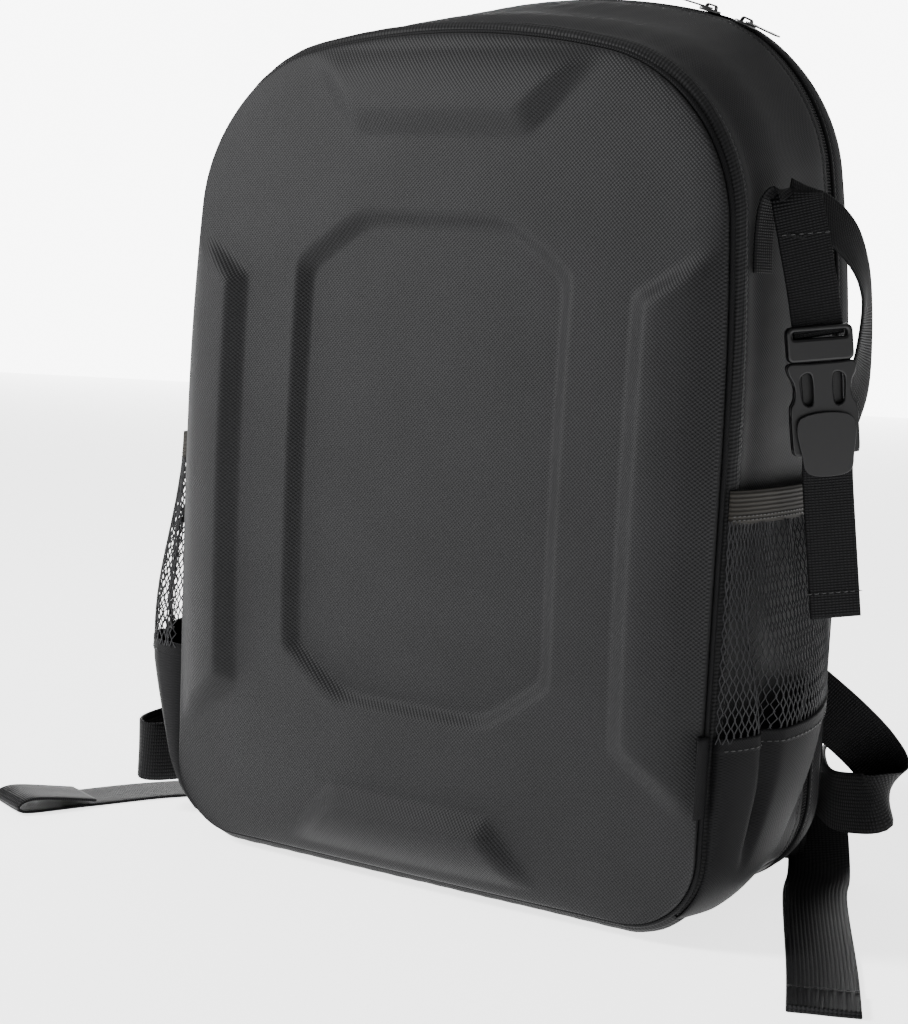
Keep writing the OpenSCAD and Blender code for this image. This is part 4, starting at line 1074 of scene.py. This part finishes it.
class CASE_OT_door(bpy.types.Operator):
    """Builds the back door with its pads, the yoke and the webbing's tabs"""
    bl_idname = "drone_case.door"
    bl_label = "Back door"

    def execute(self, context):
        cap = context.scene.case_sizes.pad_swell
        loop, normal = outline(342, 498, 0, 84, 56, 524, 0.19)
        rows = [(12, DOOR + 0.1), (1.4, DOOR + 0.1), (0.3, DOOR + 0.9), (0, DOOR + 2.4), (0.5, DOOR + 3.6),
                (1.1, DOOR + 4.4), (0.5, DOOR + 5.2), (0, DOOR + 7)]
        rows += [(0, y) for y in np.linspace(DOOR + 9, BACK - 9, 4)]
        rows += [(0.5, BACK - 6.4), (1.9, BACK - 3.9), (4.2, BACK - 2), (7.2, BACK - 0.7), (11, BACK - 0.1)]
        points = [np.stack([*(loop - normal * d).T, np.full(LOOP, y)], 1)[:, [0, 2, 1]] for d, y in rows]
        inner, middle = loop - normal * 11, np.array([0, 245.0])
        for share in np.linspace(0.96, 0.03, 26):
            x, z = (middle + (inner - middle) * share).T
            points.append(np.stack([x, BACK - 0.1 - 0.25 * (1 + ripple(x, z, 120, 5)) * (1 - share), z], 1))
        points = np.array(points)
        run = lengths(loop, True)
        across = lengths(points[:, 0])
        uv = np.stack(np.broadcast_arrays(run[None, :], across[:, None]), -1).copy()
        uv[len(rows):, :LOOP] = points[len(rows):][..., [0, 2]]
        uv[len(rows):, LOOP] = points[len(rows):, 0][:, [0, 2]]
        data = grid("door_cloth", points, uv, (False, True), (True, True))
        finish_mesh("door_cloth", data, MATERIALS["cloth"], "back_door", ["back_panel"])
        p = loop - normal * 0.8
        stitch("back_door", np.stack([p[:, 0], np.full(LOOP, DOOR + 4.4), p[:, 1]], 1), True)
        for d, y, r in ((0.6, DOOR + 0.9, 1.0), (3.0, BACK - 2.4, 1.6)):
            p = loop - normal * d
            path = np.stack([p[:, 0], np.full(LOOP, y), p[:, 1]], 1)
            name = "door_piping" if r < 1.5 else "back_piping"
            finish_mesh(name, tube(name, path, r, 8, True), MATERIALS["trim"], "back_door")
        for side, s in (("r", 1), ("l", -1)):
            cushion("air_pad_" + side, "back_pad_" + side, 26,
                    [((s * 34, z), (s * 90, z)) for z in (218, 268, 318)], cap)
        cushion("lumbar_cushion", "lumbar_pad", 26, [((x, 66), (x, 130)) for x in (-54, 0, 54)], cap)
        lo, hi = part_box("strap_yoke")
        lo, hi = lo / MM, hi / MM
        cz = (lo.z + hi.z) / 2
        data = plate("yoke_cloth", rounded(hi.x - lo.x, hi.z - lo.z, 8, 0, cz), (), 2.9, 0.9,
                     Matrix.Translation((0, (BACK + 1.5) * MM, 0)))
        finish_mesh("yoke_cloth", data, MATERIALS["webbing"], "back_door", ["strap_yoke"])
        for z in (lo.z + 3, hi.z - 3):
            sewn("back_door", (lo.x + 4, z), (hi.x - 4, z), BACK + 3)
        for x in (-76, 76):
            sewn("back_door", (x - 24, lo.z + 5), (x + 24, hi.z - 5), BACK + 3)
            sewn("back_door", (x - 24, hi.z - 5), (x + 24, lo.z + 5), BACK + 3)
        for side in ("r", "l"):
            finish_mesh("web_tab_cloth_" + side, softened("web_tab_" + side, 0.9), MATERIALS["trim"],
                        "back_door", ["web_tab_" + side])
            a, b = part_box("web_tab_" + side)
            a, b = a / MM, b / MM
            x = sorted((a.x, b.x), key=abs)
            s = 1 if x[0] > 0 else -1
            sewn("back_door", (x[0] + 3 * s, a.z + 6), (x[0] + 3 * s, b.z - 6), BACK + 3.2)
            sewn("back_door", (x[1] - 3 * s, a.z + 12), (x[1] - 3 * s, b.z - 28), BACK + 3.2)
        finish_mesh("handle_loops", softened("handle_tabs", 1.4), MATERIALS["webbing"], "back_door",
                    ["handle_tabs"])
        hand = [((s * x, BACK + 13, cz + 4 + z), (0, 1, 0)) for s, x, z in
                ((-1, 34, 0), (-1, 32, -14), (-1, 20, -27), (1, 0, -31), (1, 20, -27), (1, 32, -14), (1, 34, 0))]
        data = strap("carry_handle", hand, 18, 3, 2.0, 0.1, crown=0.35)
        finish_mesh("carry_handle", data, MATERIALS["webbing"], "handle", ["grab_handle"])
        for u in (-0.75, 0.75):
            stitch("handle", along(hand, 18, 3.6, u, 0.06, 0.94))
        return {"FINISHED"}


# ---- shoulder straps and their webbing ----
HANG = BACK + 8 + 6.5 + 1.5
STRAP = [((76, HANG - 3, 428), (1, 0, 0.04)), ((79, HANG + 5, 350), (1, 0, 0.08)),
         ((93, HANG + 7, 262), (1, 0, 0.22)), ((112, HANG + 8, 168), (1, 0, 0.18)),
         ((121, HANG + 10, 84), (1, 0, 0.05)), ((126, HANG + 15, 5), (1, 0.1, 0))]
LOCK = (Matrix.Translation((0.125, (HANG + 27) * MM, 0.074)) @ Matrix.Rotation(math.radians(18), 4, "Z")
        @ Matrix.Rotation(math.radians(-72), 4, "X"))
# the loop from each tab out to the ladder lock, then the tail that comes back out along the floor
LOOP_R = [((152, BACK + 5, 112), (0.5, 0.1, 0.85)), ((172, BACK + 14, 96), (0.62, 0, 0.78)),
          ((190, BACK + 23, 78), (0.6, -0.1, 0.8)), ((203, BACK + 20, 64), (0.35, -0.1, 0.93)),
          ((200, BACK + 10, 54), (0.05, -0.1, 1)), ((184, BACK + 10, 50), (-0.1, -0.1, 1)),
          ((168, BACK + 18, 49), (-0.1, -0.05, 1)), ((152, BACK + 36, 54), (0, 0.2, 1)),
          ((141, BACK + 52, 60), (0.4, 0.3, 0.8))]
LOOP_L = [((-162, BACK + 6, 92), (-0.2, 0.1, 0.9)), ((-187, BACK + 2, 72), (-0.2, 0, 0.97)),
          ((-209, 44, 50), (-0.05, 0, 1)), ((-226, 0, 42), (0, 0, 1)), ((-227, -38, 39), (0, 0, 1)),
          ((-215, -51, 38), (0, 0, 1)), ((-204, -34, 37), (0, 0, 1)), ((-202.5, 12, 34), (0, 0, 1)),
          ((-201, 62, 31), (0, 0, 1)), ((-186, BACK + 15, 32), (0, 0, 1)),
          ((-160, BACK + 34, 46), (0.1, 0.1, 1)), ((-142, BACK + 52, 60), (-0.4, 0.3, 0.8))]
RISER = [((137, BACK + 60, 44), (0.95, 0.3, 0)), ((146, BACK + 55, 24), (0.94, 0.33, 0)),
         ((156, BACK + 38, 9), (0.93, 0.36, 0)), ((166, BACK + 15, 2.2), (0.93, 0.37, 0))]
TAIL_R = [((181, BACK - 26, 1.2), (0.93, 0.37, 0)), ((231, -52, 1.2), (0.92, 0.39, 0)),
          ((257, -112, 1.2), (0.92, 0.39, 0))]
TAIL_L = [((-182, BACK - 26, 1.2), (0.93, -0.37, 0)), ((-214, 26, 1.2), (0.93, -0.37, 0)),
          ((-240, -12, 1.2), (0.93, -0.37, 0)), ((-262, -62, 1.2), (0.92, -0.39, 0)),
          ((-276, -97, 1.4), (0.92, -0.39, 0)), ((-278.4, -103, 5.4), (0.92, -0.39, 0)),
          ((-274, -92, 9.2), (0.92, -0.39, 0)), ((-259, -56, 4), (0.92, -0.39, 0))]


def across_joint(name, data, material, nodes):
    """A strap that spans the back door and a shoulder strap, kept on no body, with its placement baked into its
    mesh.
    """
    piece = finish_mesh(name, data, material, None, nodes)
    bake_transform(piece)
    return piece


class CASE_OT_straps(bpy.types.Operator):
    """Builds the padded shoulder straps, the ladder locks and the lower webbing"""
    bl_idname = "drone_case.straps"
    bl_label = "Straps and webbing"

    def execute(self, context):
        narrowing = [0.86, 0.9, 0.94, 0.98, 1, 1, 1, 1, 1, 0.99, 0.97, 0.88, 0.62]
        for side, s in (("r", 1), ("l", -1)):
            body = "shoulder_strap_" + side
            flip = (lambda d: d) if s > 0 else mirrored
            data = flip(strap("pad", STRAP, 64, 10.5, 4.0, 0.35, crown=0.32, across=17, taper=narrowing))
            piece = finish_mesh("shoulder_pad_" + side, data, MATERIALS["trim"], body,
                                ["strap_pad_" + side])
            path = smooth_path(STRAP, 4.0)
            _, wide, up = frames(path)
            size = np.interp(np.linspace(0, 1, len(path)), np.linspace(0, 1, len(narrowing)), narrowing)
            edge_l = path[:, :3] - wide * (32 * size)[:, None]
            edge_r = path[:, :3] + wide * (32 * size)[:, None]
            rim = resample(np.concatenate([edge_l, edge_r[::-1]]), 260, True) * [s, 1, 1]
            finish_mesh("shoulder_binding_" + side, tube("binding", rim, 2.0, 8, True, (0, 1, 0.01)),
                        MATERIALS["webbing"], body)
            for u in (-0.84, 0.84):
                stitch(body, along(STRAP, 64, 12.5, u, 0.04, 0.95, 0.4) * [s, 1, 1])
            # the ladder lock's two curved bars stand in its frame
            holes = [rounded(38, 5, 1.6, 0, z) for z in (11, 20.5, 30)]
            data = plate("lock", rounded(48, 34, 4.5, 0, 21, 8), holes, 4.6, 1.1,
                         LOCK @ Matrix.Rotation(-math.pi / 2, 4, "X"))
            finish_mesh("ladder_lock_moulding_" + side, flip(data), MATERIALS["plastic"], body,
                        ["ladder_lock_" + side])
            fold = [((0, -20, -3.4), (1, 0, 0)), ((0, -6, -4.2), (1, 0, 0)), ((0, 6, -4.4), (1, 0, 0)),
                    ((0, 10.6, -2.4), (1, 0, 0)), ((0, 11.2, 0.2), (1, 0, 0)), ((0, 10.4, 3.2), (1, 0, 0))]
            data = strap("tab", fold, 35, 1.6, 1.5)
            data.transform(LOCK)
            finish_mesh("lock_tab_webbing_" + side, flip(data), MATERIALS["webbing"], body,
                        ["lock_tab_" + side])
            # the widths turn over on the left, so that both tails keep one hand
            route = [((s * x, y, z), (a, s * b, s * c)) for (x, y, z), (a, b, c) in RISER]
            tail = TAIL_R if s > 0 else TAIL_L
            data = strap("tail", route + tail, 36, 1.8, 2.5, 0.12, SEED + s)
            across_joint("lower_tail_" + side, data, MATERIALS["webbing"],
                         ["web_riser_" + side])
            loop = LOOP_R if s > 0 else LOOP_L
            data = strap("loop", loop, 36, 1.8, 2.5, 0.15, SEED + 3 * s)
            across_joint("lower_loop_" + side, data, MATERIALS["webbing"],
                         ["lower_web_" + side])
        hem = [(p, (0.92, 0.39, 0)) for p in ((245, -84.3, 2.9), (251, -98.2, 2.9), (257, -112, 2.9))]
        finish_mesh("tail_hem", strap("tail_hem", hem, 35.4, 1.6, 2.5), MATERIALS["webbing"], "back_door")
        for k in (1.5, 3.5):
            p, w = np.array([245, -84.3, 4.0]) + np.array([0.4, -0.92, 0]) * k, np.array([0.92, 0.39, 0])
            stitch("back_door", np.array([p + w * u for u in np.linspace(-16, 16, 16)]))
        return {"FINISHED"}


# ---- tripod strap and its buckle ----
TRIPOD = (Matrix.Translation((0.177, -0.044, 0.384)) @ Matrix.Rotation(math.radians(32), 4, "Z")
          @ Matrix.Rotation(math.radians(-7.5), 4, "Y"))
# the set's pieces are 26 mm wide, a little narrower than its frame's
TRIPOD_SET = (TRIPOD @ Matrix.Translation((0.0145, 0, 0)) @ Matrix.Scale(0.86, 4, (1, 0, 0))
              @ Matrix.Translation((-0.017, 0, 0)))
MALE_Z = -69  # heights of the buckle's two halves below the anchor
FEMALE_Z = MALE_Z - 14.4


def local_plate(name, outer, holes, thick, bevel, y=0.0):
    return plate(name, outer, holes, thick, bevel, TRIPOD_SET @ Matrix.Translation((0, y * MM, 0)))


def local_strap(name, stations, width, thick, sag=0.1, seed=SEED):
    data = strap(name, stations, width, thick, 2.0, sag, seed)
    data.transform(TRIPOD_SET)
    return data


class CASE_OT_tripod(bpy.types.Operator):
    """Builds the side strap with its release buckle and hanging tail"""
    bl_idname = "drone_case.tripod"
    bl_label = "Tripod strap"

    def execute(self, context):
        flat = (1, 0, 0)
        anchor = [((170, -44, 346), (0.1, 1, 0)), ((169.4, -44, 364), (0.1, 1, 0)),
                  ((171, -44, 380), (0.15, 1, 0)), ((176, -43, 387), (0.3, 0.95, 0)),
                  ((181, -42, 385), (0.5, 0.85, 0))]
        finish_mesh("strap_anchor", strap("anchor", anchor, 18, 1.8, 1.5, 0.1), MATERIALS["webbing"], "case",
                    ["tripod_anchor"])
        data = local_strap("strand", [((10, 2.2, 2.6), (1, 0, 0.25)), ((9.6, 0.4, -3), (1, 0, 0.2)),
                                      ((12, 0.1, -22), (1, 0, 0.12)), ((15, 0.1, -46), (1, 0, 0.06)),
                                      ((17, 0.1, MALE_Z - 1.6), flat)], 30, 1.8, 0.2)
        finish_mesh("tripod_strand", data, MATERIALS["webbing"], "tripod_loop", ["tripod_strap"])
        back = [((4, 2.8, -5), (0.25, 0.2, 0.95)), ((13, 5, -8), (0.25, 0.4, 0.88)),
                ((29, 11, -13), (0.35, 0.6, 0.72)), ((42, 18, -24), (0.5, 0.75, 0.45)),
                ((50, 24, -40), (0.42, 0.88, 0.18)), ((52, 28, -58), (0.37, 0.93, 0)),
                ((48, 28, -84), (0.5, 0.86, 0)), ((42, 24, -100), (0.65, 0.75, 0)),
                ((33, 19, -110), (0.85, 0.5, 0)), ((22, 14, -117), (1, 0.1, 0))]
        finish_mesh("tripod_back_strand", local_strap("back_strand", back, 30, 1.8, 0.2, 5),
                    MATERIALS["webbing"], "tripod_loop", ["tripod_return"])
        # the male half: a bar with its slot, a centre guide and two sprung prongs
        bar = local_plate("bar", rounded(39, 18, 3.5, 17, MALE_Z - 5, 8),
                          [rounded(31.6, 3.4, 1.2, 17, MALE_Z - 0.3)],
                          8.6, 1.6)
        parts = [bar]
        for s in (-1, 1):
            prong = soft_ring([(17 + s * x, MALE_Z - z) for x, z in
                               ((10.5, 12), (15.4, 12), (15.6, 22), (17.2, 30), (16.6, 36), (13.4, 38),
                                (11.4, 33),
                                (11.6, 22))], 48)
            parts.append(local_plate("prong", prong, (), 4.2, 0.9))
        parts.append(local_plate("guide", rounded(3.4, 22, 1.4, 17, MALE_Z - 23), (), 3.4, 0.7))
        finish_mesh("buckle_plug", join("plug", parts), MATERIALS["plastic"], "tripod_loop",
                    ["buckle_male"])
        # the female half: a waisted housing in two skins, open at its sides, with a bar at its foot
        half = [(8, 0), (19.2, 0), (19.6, -5), (17.4, -9), (16.4, -14), (17.6, -19), (19.5, -23), (19.5, -43),
                (17.4, -46), (8, -46)]
        ring = [(17 + x, FEMALE_Z + z) for x, z in half] + [(17 - x, FEMALE_Z + z) for x, z in half[::-1]]
        ring = soft_ring(ring, 96)
        slot = rounded(31.6, 5.2, 1.6, 17, FEMALE_Z - 33)
        window = [soft_ring([(17 + s * x, FEMALE_Z + z) for x, z in
                             ((6.5, -6), (12.4, -6.6), (12.8, -13), (11.4, -20), (6.5, -20))], 32) for s in (-1, 1)]
        parts = [local_plate("skin", ring, holes, 2.6, 0.9, y)
                 for y, holes in ((-3.2, [slot, *window]), (3.2, [slot]))]
        foot = [(17 + x, FEMALE_Z + z) for x, z in ((-19.2, -26), (19.2, -26), (19.2, -43), (17, -45.6),
                                                   (-17, -45.6), (-19.2, -43))]
        parts.append(local_plate("foot", foot, [slot], 5.4, 0.4))
        finish_mesh("buckle_socket", join("socket", parts), MATERIALS["plastic"], "tripod_release",
                    ["buckle_female"])
        face = -6.0
        tail = [((17, 6, FEMALE_Z - 31), flat), ((17, 0.5, FEMALE_Z - 33), flat),
                ((17, face, FEMALE_Z - 37), flat), ((17, face, FEMALE_Z - 47), flat),
                ((17, -1.4, FEMALE_Z - 58), flat), ((17, 0, FEMALE_Z - 86), flat),
                ((17, 0, FEMALE_Z - 130), flat)]
        data = [local_strap("tail", tail, 30, 1.8, 0.22, 9),
                local_strap("hem", [((17, 1.7, FEMALE_Z - z), flat) for z in (115, 122, 129.6)], 29.6, 1.6)]
        finish_mesh("tripod_tail_webbing", join("tail", data), MATERIALS["webbing"], "tripod_release",
                    ["tripod_tail"])
        # a smooth keeper folded over the slot, its lower edge rounded
        keeper = soft_ring([(17 + x, FEMALE_Z + z) for x, z in
                            ((-15, -27), (15, -27), (15, -47), (12, -55), (0, -57), (-12, -55), (-15, -47))], 48)
        data = local_plate("keeper", keeper, (), 1.2, 0.4, face - 1.5)
        finish_mesh("buckle_keeper", data, MATERIALS["plastic"], "tripod_release")
        rows = np.array([(2 + k * 30 / 15, -0.9 - 0.4, FEMALE_Z - 117) for k in range(16)])
        turn = np.array(TRIPOD_SET)
        place = lambda p: (np.asarray(p) @ turn[:3, :3].T) + turn[:3, 3] / MM
        stitch("tripod_release", place(rows))
        stitch("tripod_loop", place([(0.5 + k * 25 / 15, -1.3, -19) for k in range(16)]))
        return {"FINISHED"}


class CASE_OT_inside(bpy.types.Operator):
    """Builds the cut foam, the linings and the lid's pocket"""
    bl_idname = "drone_case.inside"
    bl_label = "Inside"

    def execute(self, context):
        for name, source, body, kind, bevel in (
                ("foam_base", "foam_floor", "case", "foam", 1.2),
                ("foam_tray", "foam_insert", "case", "foam", 1.6),
                ("hinge_cloth", "hinge_strip", "case", "trim", 0.4),
                ("door_lining_cloth", "door_lining", "back_door", "lining", 0.4),
                ("lid_pocket_cloth", "lid_pocket", "back_door", "elastic", 0.7)):
            finish_mesh(name, softened(source, bevel), MATERIALS[kind], body, [source], smooth=False)
        return {"FINISHED"}


class CASE_OT_stitching(bpy.types.Operator):
    """Sews every seam gathered so far, one thread piece for each body"""
    bl_idname = "drone_case.stitching"
    bl_label = "Stitching"

    def execute(self, context):
        sizes = context.scene.case_sizes
        beads = bead_tree()
        for body, rows in SEAMS.items():
            data = grow("stitching_" + body, rows, beads, {
                "Spacing": sizes.stitch * 1.45, "Size": (sizes.stitch, sizes.thread, sizes.thread),
                "Turn about Y": False, "Material": MATERIALS["thread"]})
            finish_mesh("stitching_" + body, data, None, body)
        return {"FINISHED"}


# ---- stage ----
def light(name, kind, place, aim, energy, size, tone=(1, 1, 1)):
    lamp = bpy.data.lights.new(name, kind)
    lamp.energy, lamp.color = energy, tone
    if kind == "AREA":
        lamp.shape, lamp.size, lamp.size_y = "RECTANGLE", size[0], size[1]
    holder = bpy.data.objects.new(name, lamp)
    bpy.context.scene.collection.objects.link(holder)
    holder.location = place
    holder.rotation_euler = (Vector(aim) - Vector(place)).to_track_quat("-Z", "Y").to_euler()
    return holder


class CASE_OT_stage(bpy.types.Operator):
    """Sets the pale floor, the soft lights and the camera"""
    bl_idname = "drone_case.stage"
    bl_label = "Stage"

    def execute(self, context):
        made, tree, shader = surface("Matt white paper", linear("#f4f4f4"), 0.9, specular=0.2)
        tone = grain(tree, 3.0, 2.0)
        tint = node(tree, "ShaderNodeMapRange", {"Value": tone, "To Min": 0.985, "To Max": 1.0})
        tint = node(tree, "ShaderNodeVectorMath", {0: linear("#f4f4f4")[:3], "Scale": tint.outputs[0]},
                    operation="SCALE")
        tree.links.new(tint.outputs[0], shader.inputs["Base Color"])
        shader.inputs["Emission Color"].default_value = (1, 1, 1, 1)
        shader.inputs["Emission Strength"].default_value = 2.4
        data = bpy.data.meshes.new("floor")
        data.from_pydata([(-6, -6, 0), (6, -6, 0), (6, 6, 0), (-6, 6, 0)], [], [(0, 1, 2, 3)])
        data.materials.append(made)
        floor = bpy.data.objects.new("floor", data)
        context.scene.collection.objects.link(floor)
        made = bpy.data.materials.new("Lit paper backdrop")
        made.use_nodes = True
        tree = made.node_tree
        tree.nodes.clear()
        glow = node(tree, "ShaderNodeMapRange", {"Value": grain(tree, 1.0, 1.0), "To Min": 8.0, "To Max": 8.4})
        glow = node(tree, "ShaderNodeEmission", {"Strength": glow.outputs[0]})
        node(tree, "ShaderNodeOutputMaterial", {0: glow.outputs[0]})
        data = bpy.data.meshes.new("backdrop")
        data.from_pydata([(-3.9, 2.65, -0.01), (-0.7, 4.65, -0.01), (-0.7, 4.65, 1.7), (-3.9, 2.65, 1.7)], [],
                         [(0, 1, 2, 3)])
        data.materials.append(made)
        backdrop = bpy.data.objects.new("backdrop", data)
        context.scene.collection.objects.link(backdrop)
        light("key", "AREA", (-1.6, -1.45, 1.45), (-0.05, 0, 0.27), 128, (0.6, 0.6))
        light("top", "AREA", (0.2, 0.5, 2.3), (0, 0, 0.2), 8, (2.0, 1.2))
        light("fill", "AREA", (2.2, -0.7, 0.9), (0.1, 0, 0.25), 2.5, (1.2, 1.6))
        world = bpy.data.worlds.new("studio")
        world.use_nodes = True
        world.node_tree.nodes["Background"].inputs["Color"].default_value = (1, 1, 1, 1)
        world.node_tree.nodes["Background"].inputs["Strength"].default_value = 0.4
        context.scene.world = world
        lens = bpy.data.cameras.new("camera")
        lens.lens, lens.sensor_width = 74.07, 36.0
        eye = bpy.data.objects.new("camera", lens)
        context.scene.collection.objects.link(eye)
        turn, rise, roll = math.radians(32.12), math.radians(6.74), math.radians(2.89)
        back = Vector((math.sin(turn) * math.cos(rise), -math.cos(turn) * math.cos(rise), math.sin(rise)))
        right = Vector((math.cos(turn), math.sin(turn), 0))
        up = back.cross(right)
        across = math.cos(roll) * right + math.sin(roll) * up
        upward = -math.sin(roll) * right + math.cos(roll) * up
        eye.matrix_world = Matrix.Translation((0.6094, -1.0231, 0.3435)) @ Matrix(
            (across, upward, back)).transposed().to_4x4()
        context.scene.camera = eye
        return {"FINISHED"}


STEPS = (CASE_OT_shell, CASE_OT_gusset, CASE_OT_zip, CASE_OT_pockets, CASE_OT_door, CASE_OT_straps,
         CASE_OT_tripod, CASE_OT_inside, CASE_OT_stitching, CASE_OT_stage)


class CASE_PT_build(bpy.types.Panel):
    """Lists the case's sizes, colours and build steps"""
    bl_label = "Drone case"
    bl_idname = "CASE_PT_build"
    bl_space_type = "VIEW_3D"
    bl_region_type = "UI"
    bl_category = "Drone case"

    def draw(self, context):
        for settings in (context.scene.case_sizes, context.scene.case_colours):
            box = self.layout.box()
            for key in settings.__annotations__:
                box.prop(settings, key)
        for step in STEPS:
            self.layout.operator(step.bl_idname)


CLASSES = (CaseSizes, CaseColours, *STEPS, CASE_PT_build)


def register():
    for cls in CLASSES:
        bpy.utils.register_class(cls)
    bpy.types.Scene.case_sizes = bpy.props.PointerProperty(type=CaseSizes)
    bpy.types.Scene.case_colours = bpy.props.PointerProperty(type=CaseColours)


def unregister():
    del bpy.types.Scene.case_sizes, bpy.types.Scene.case_colours
    for cls in reversed(CLASSES):
        bpy.utils.unregister_class(cls)


def main():
    register()
    scene = bpy.context.scene
    make_materials(scene.case_sizes, scene.case_colours)
    for step in STEPS:
        group, name = step.bl_idname.split(".")
        getattr(getattr(bpy.ops, group), name)()


if __name__ == "__main__":
    main()
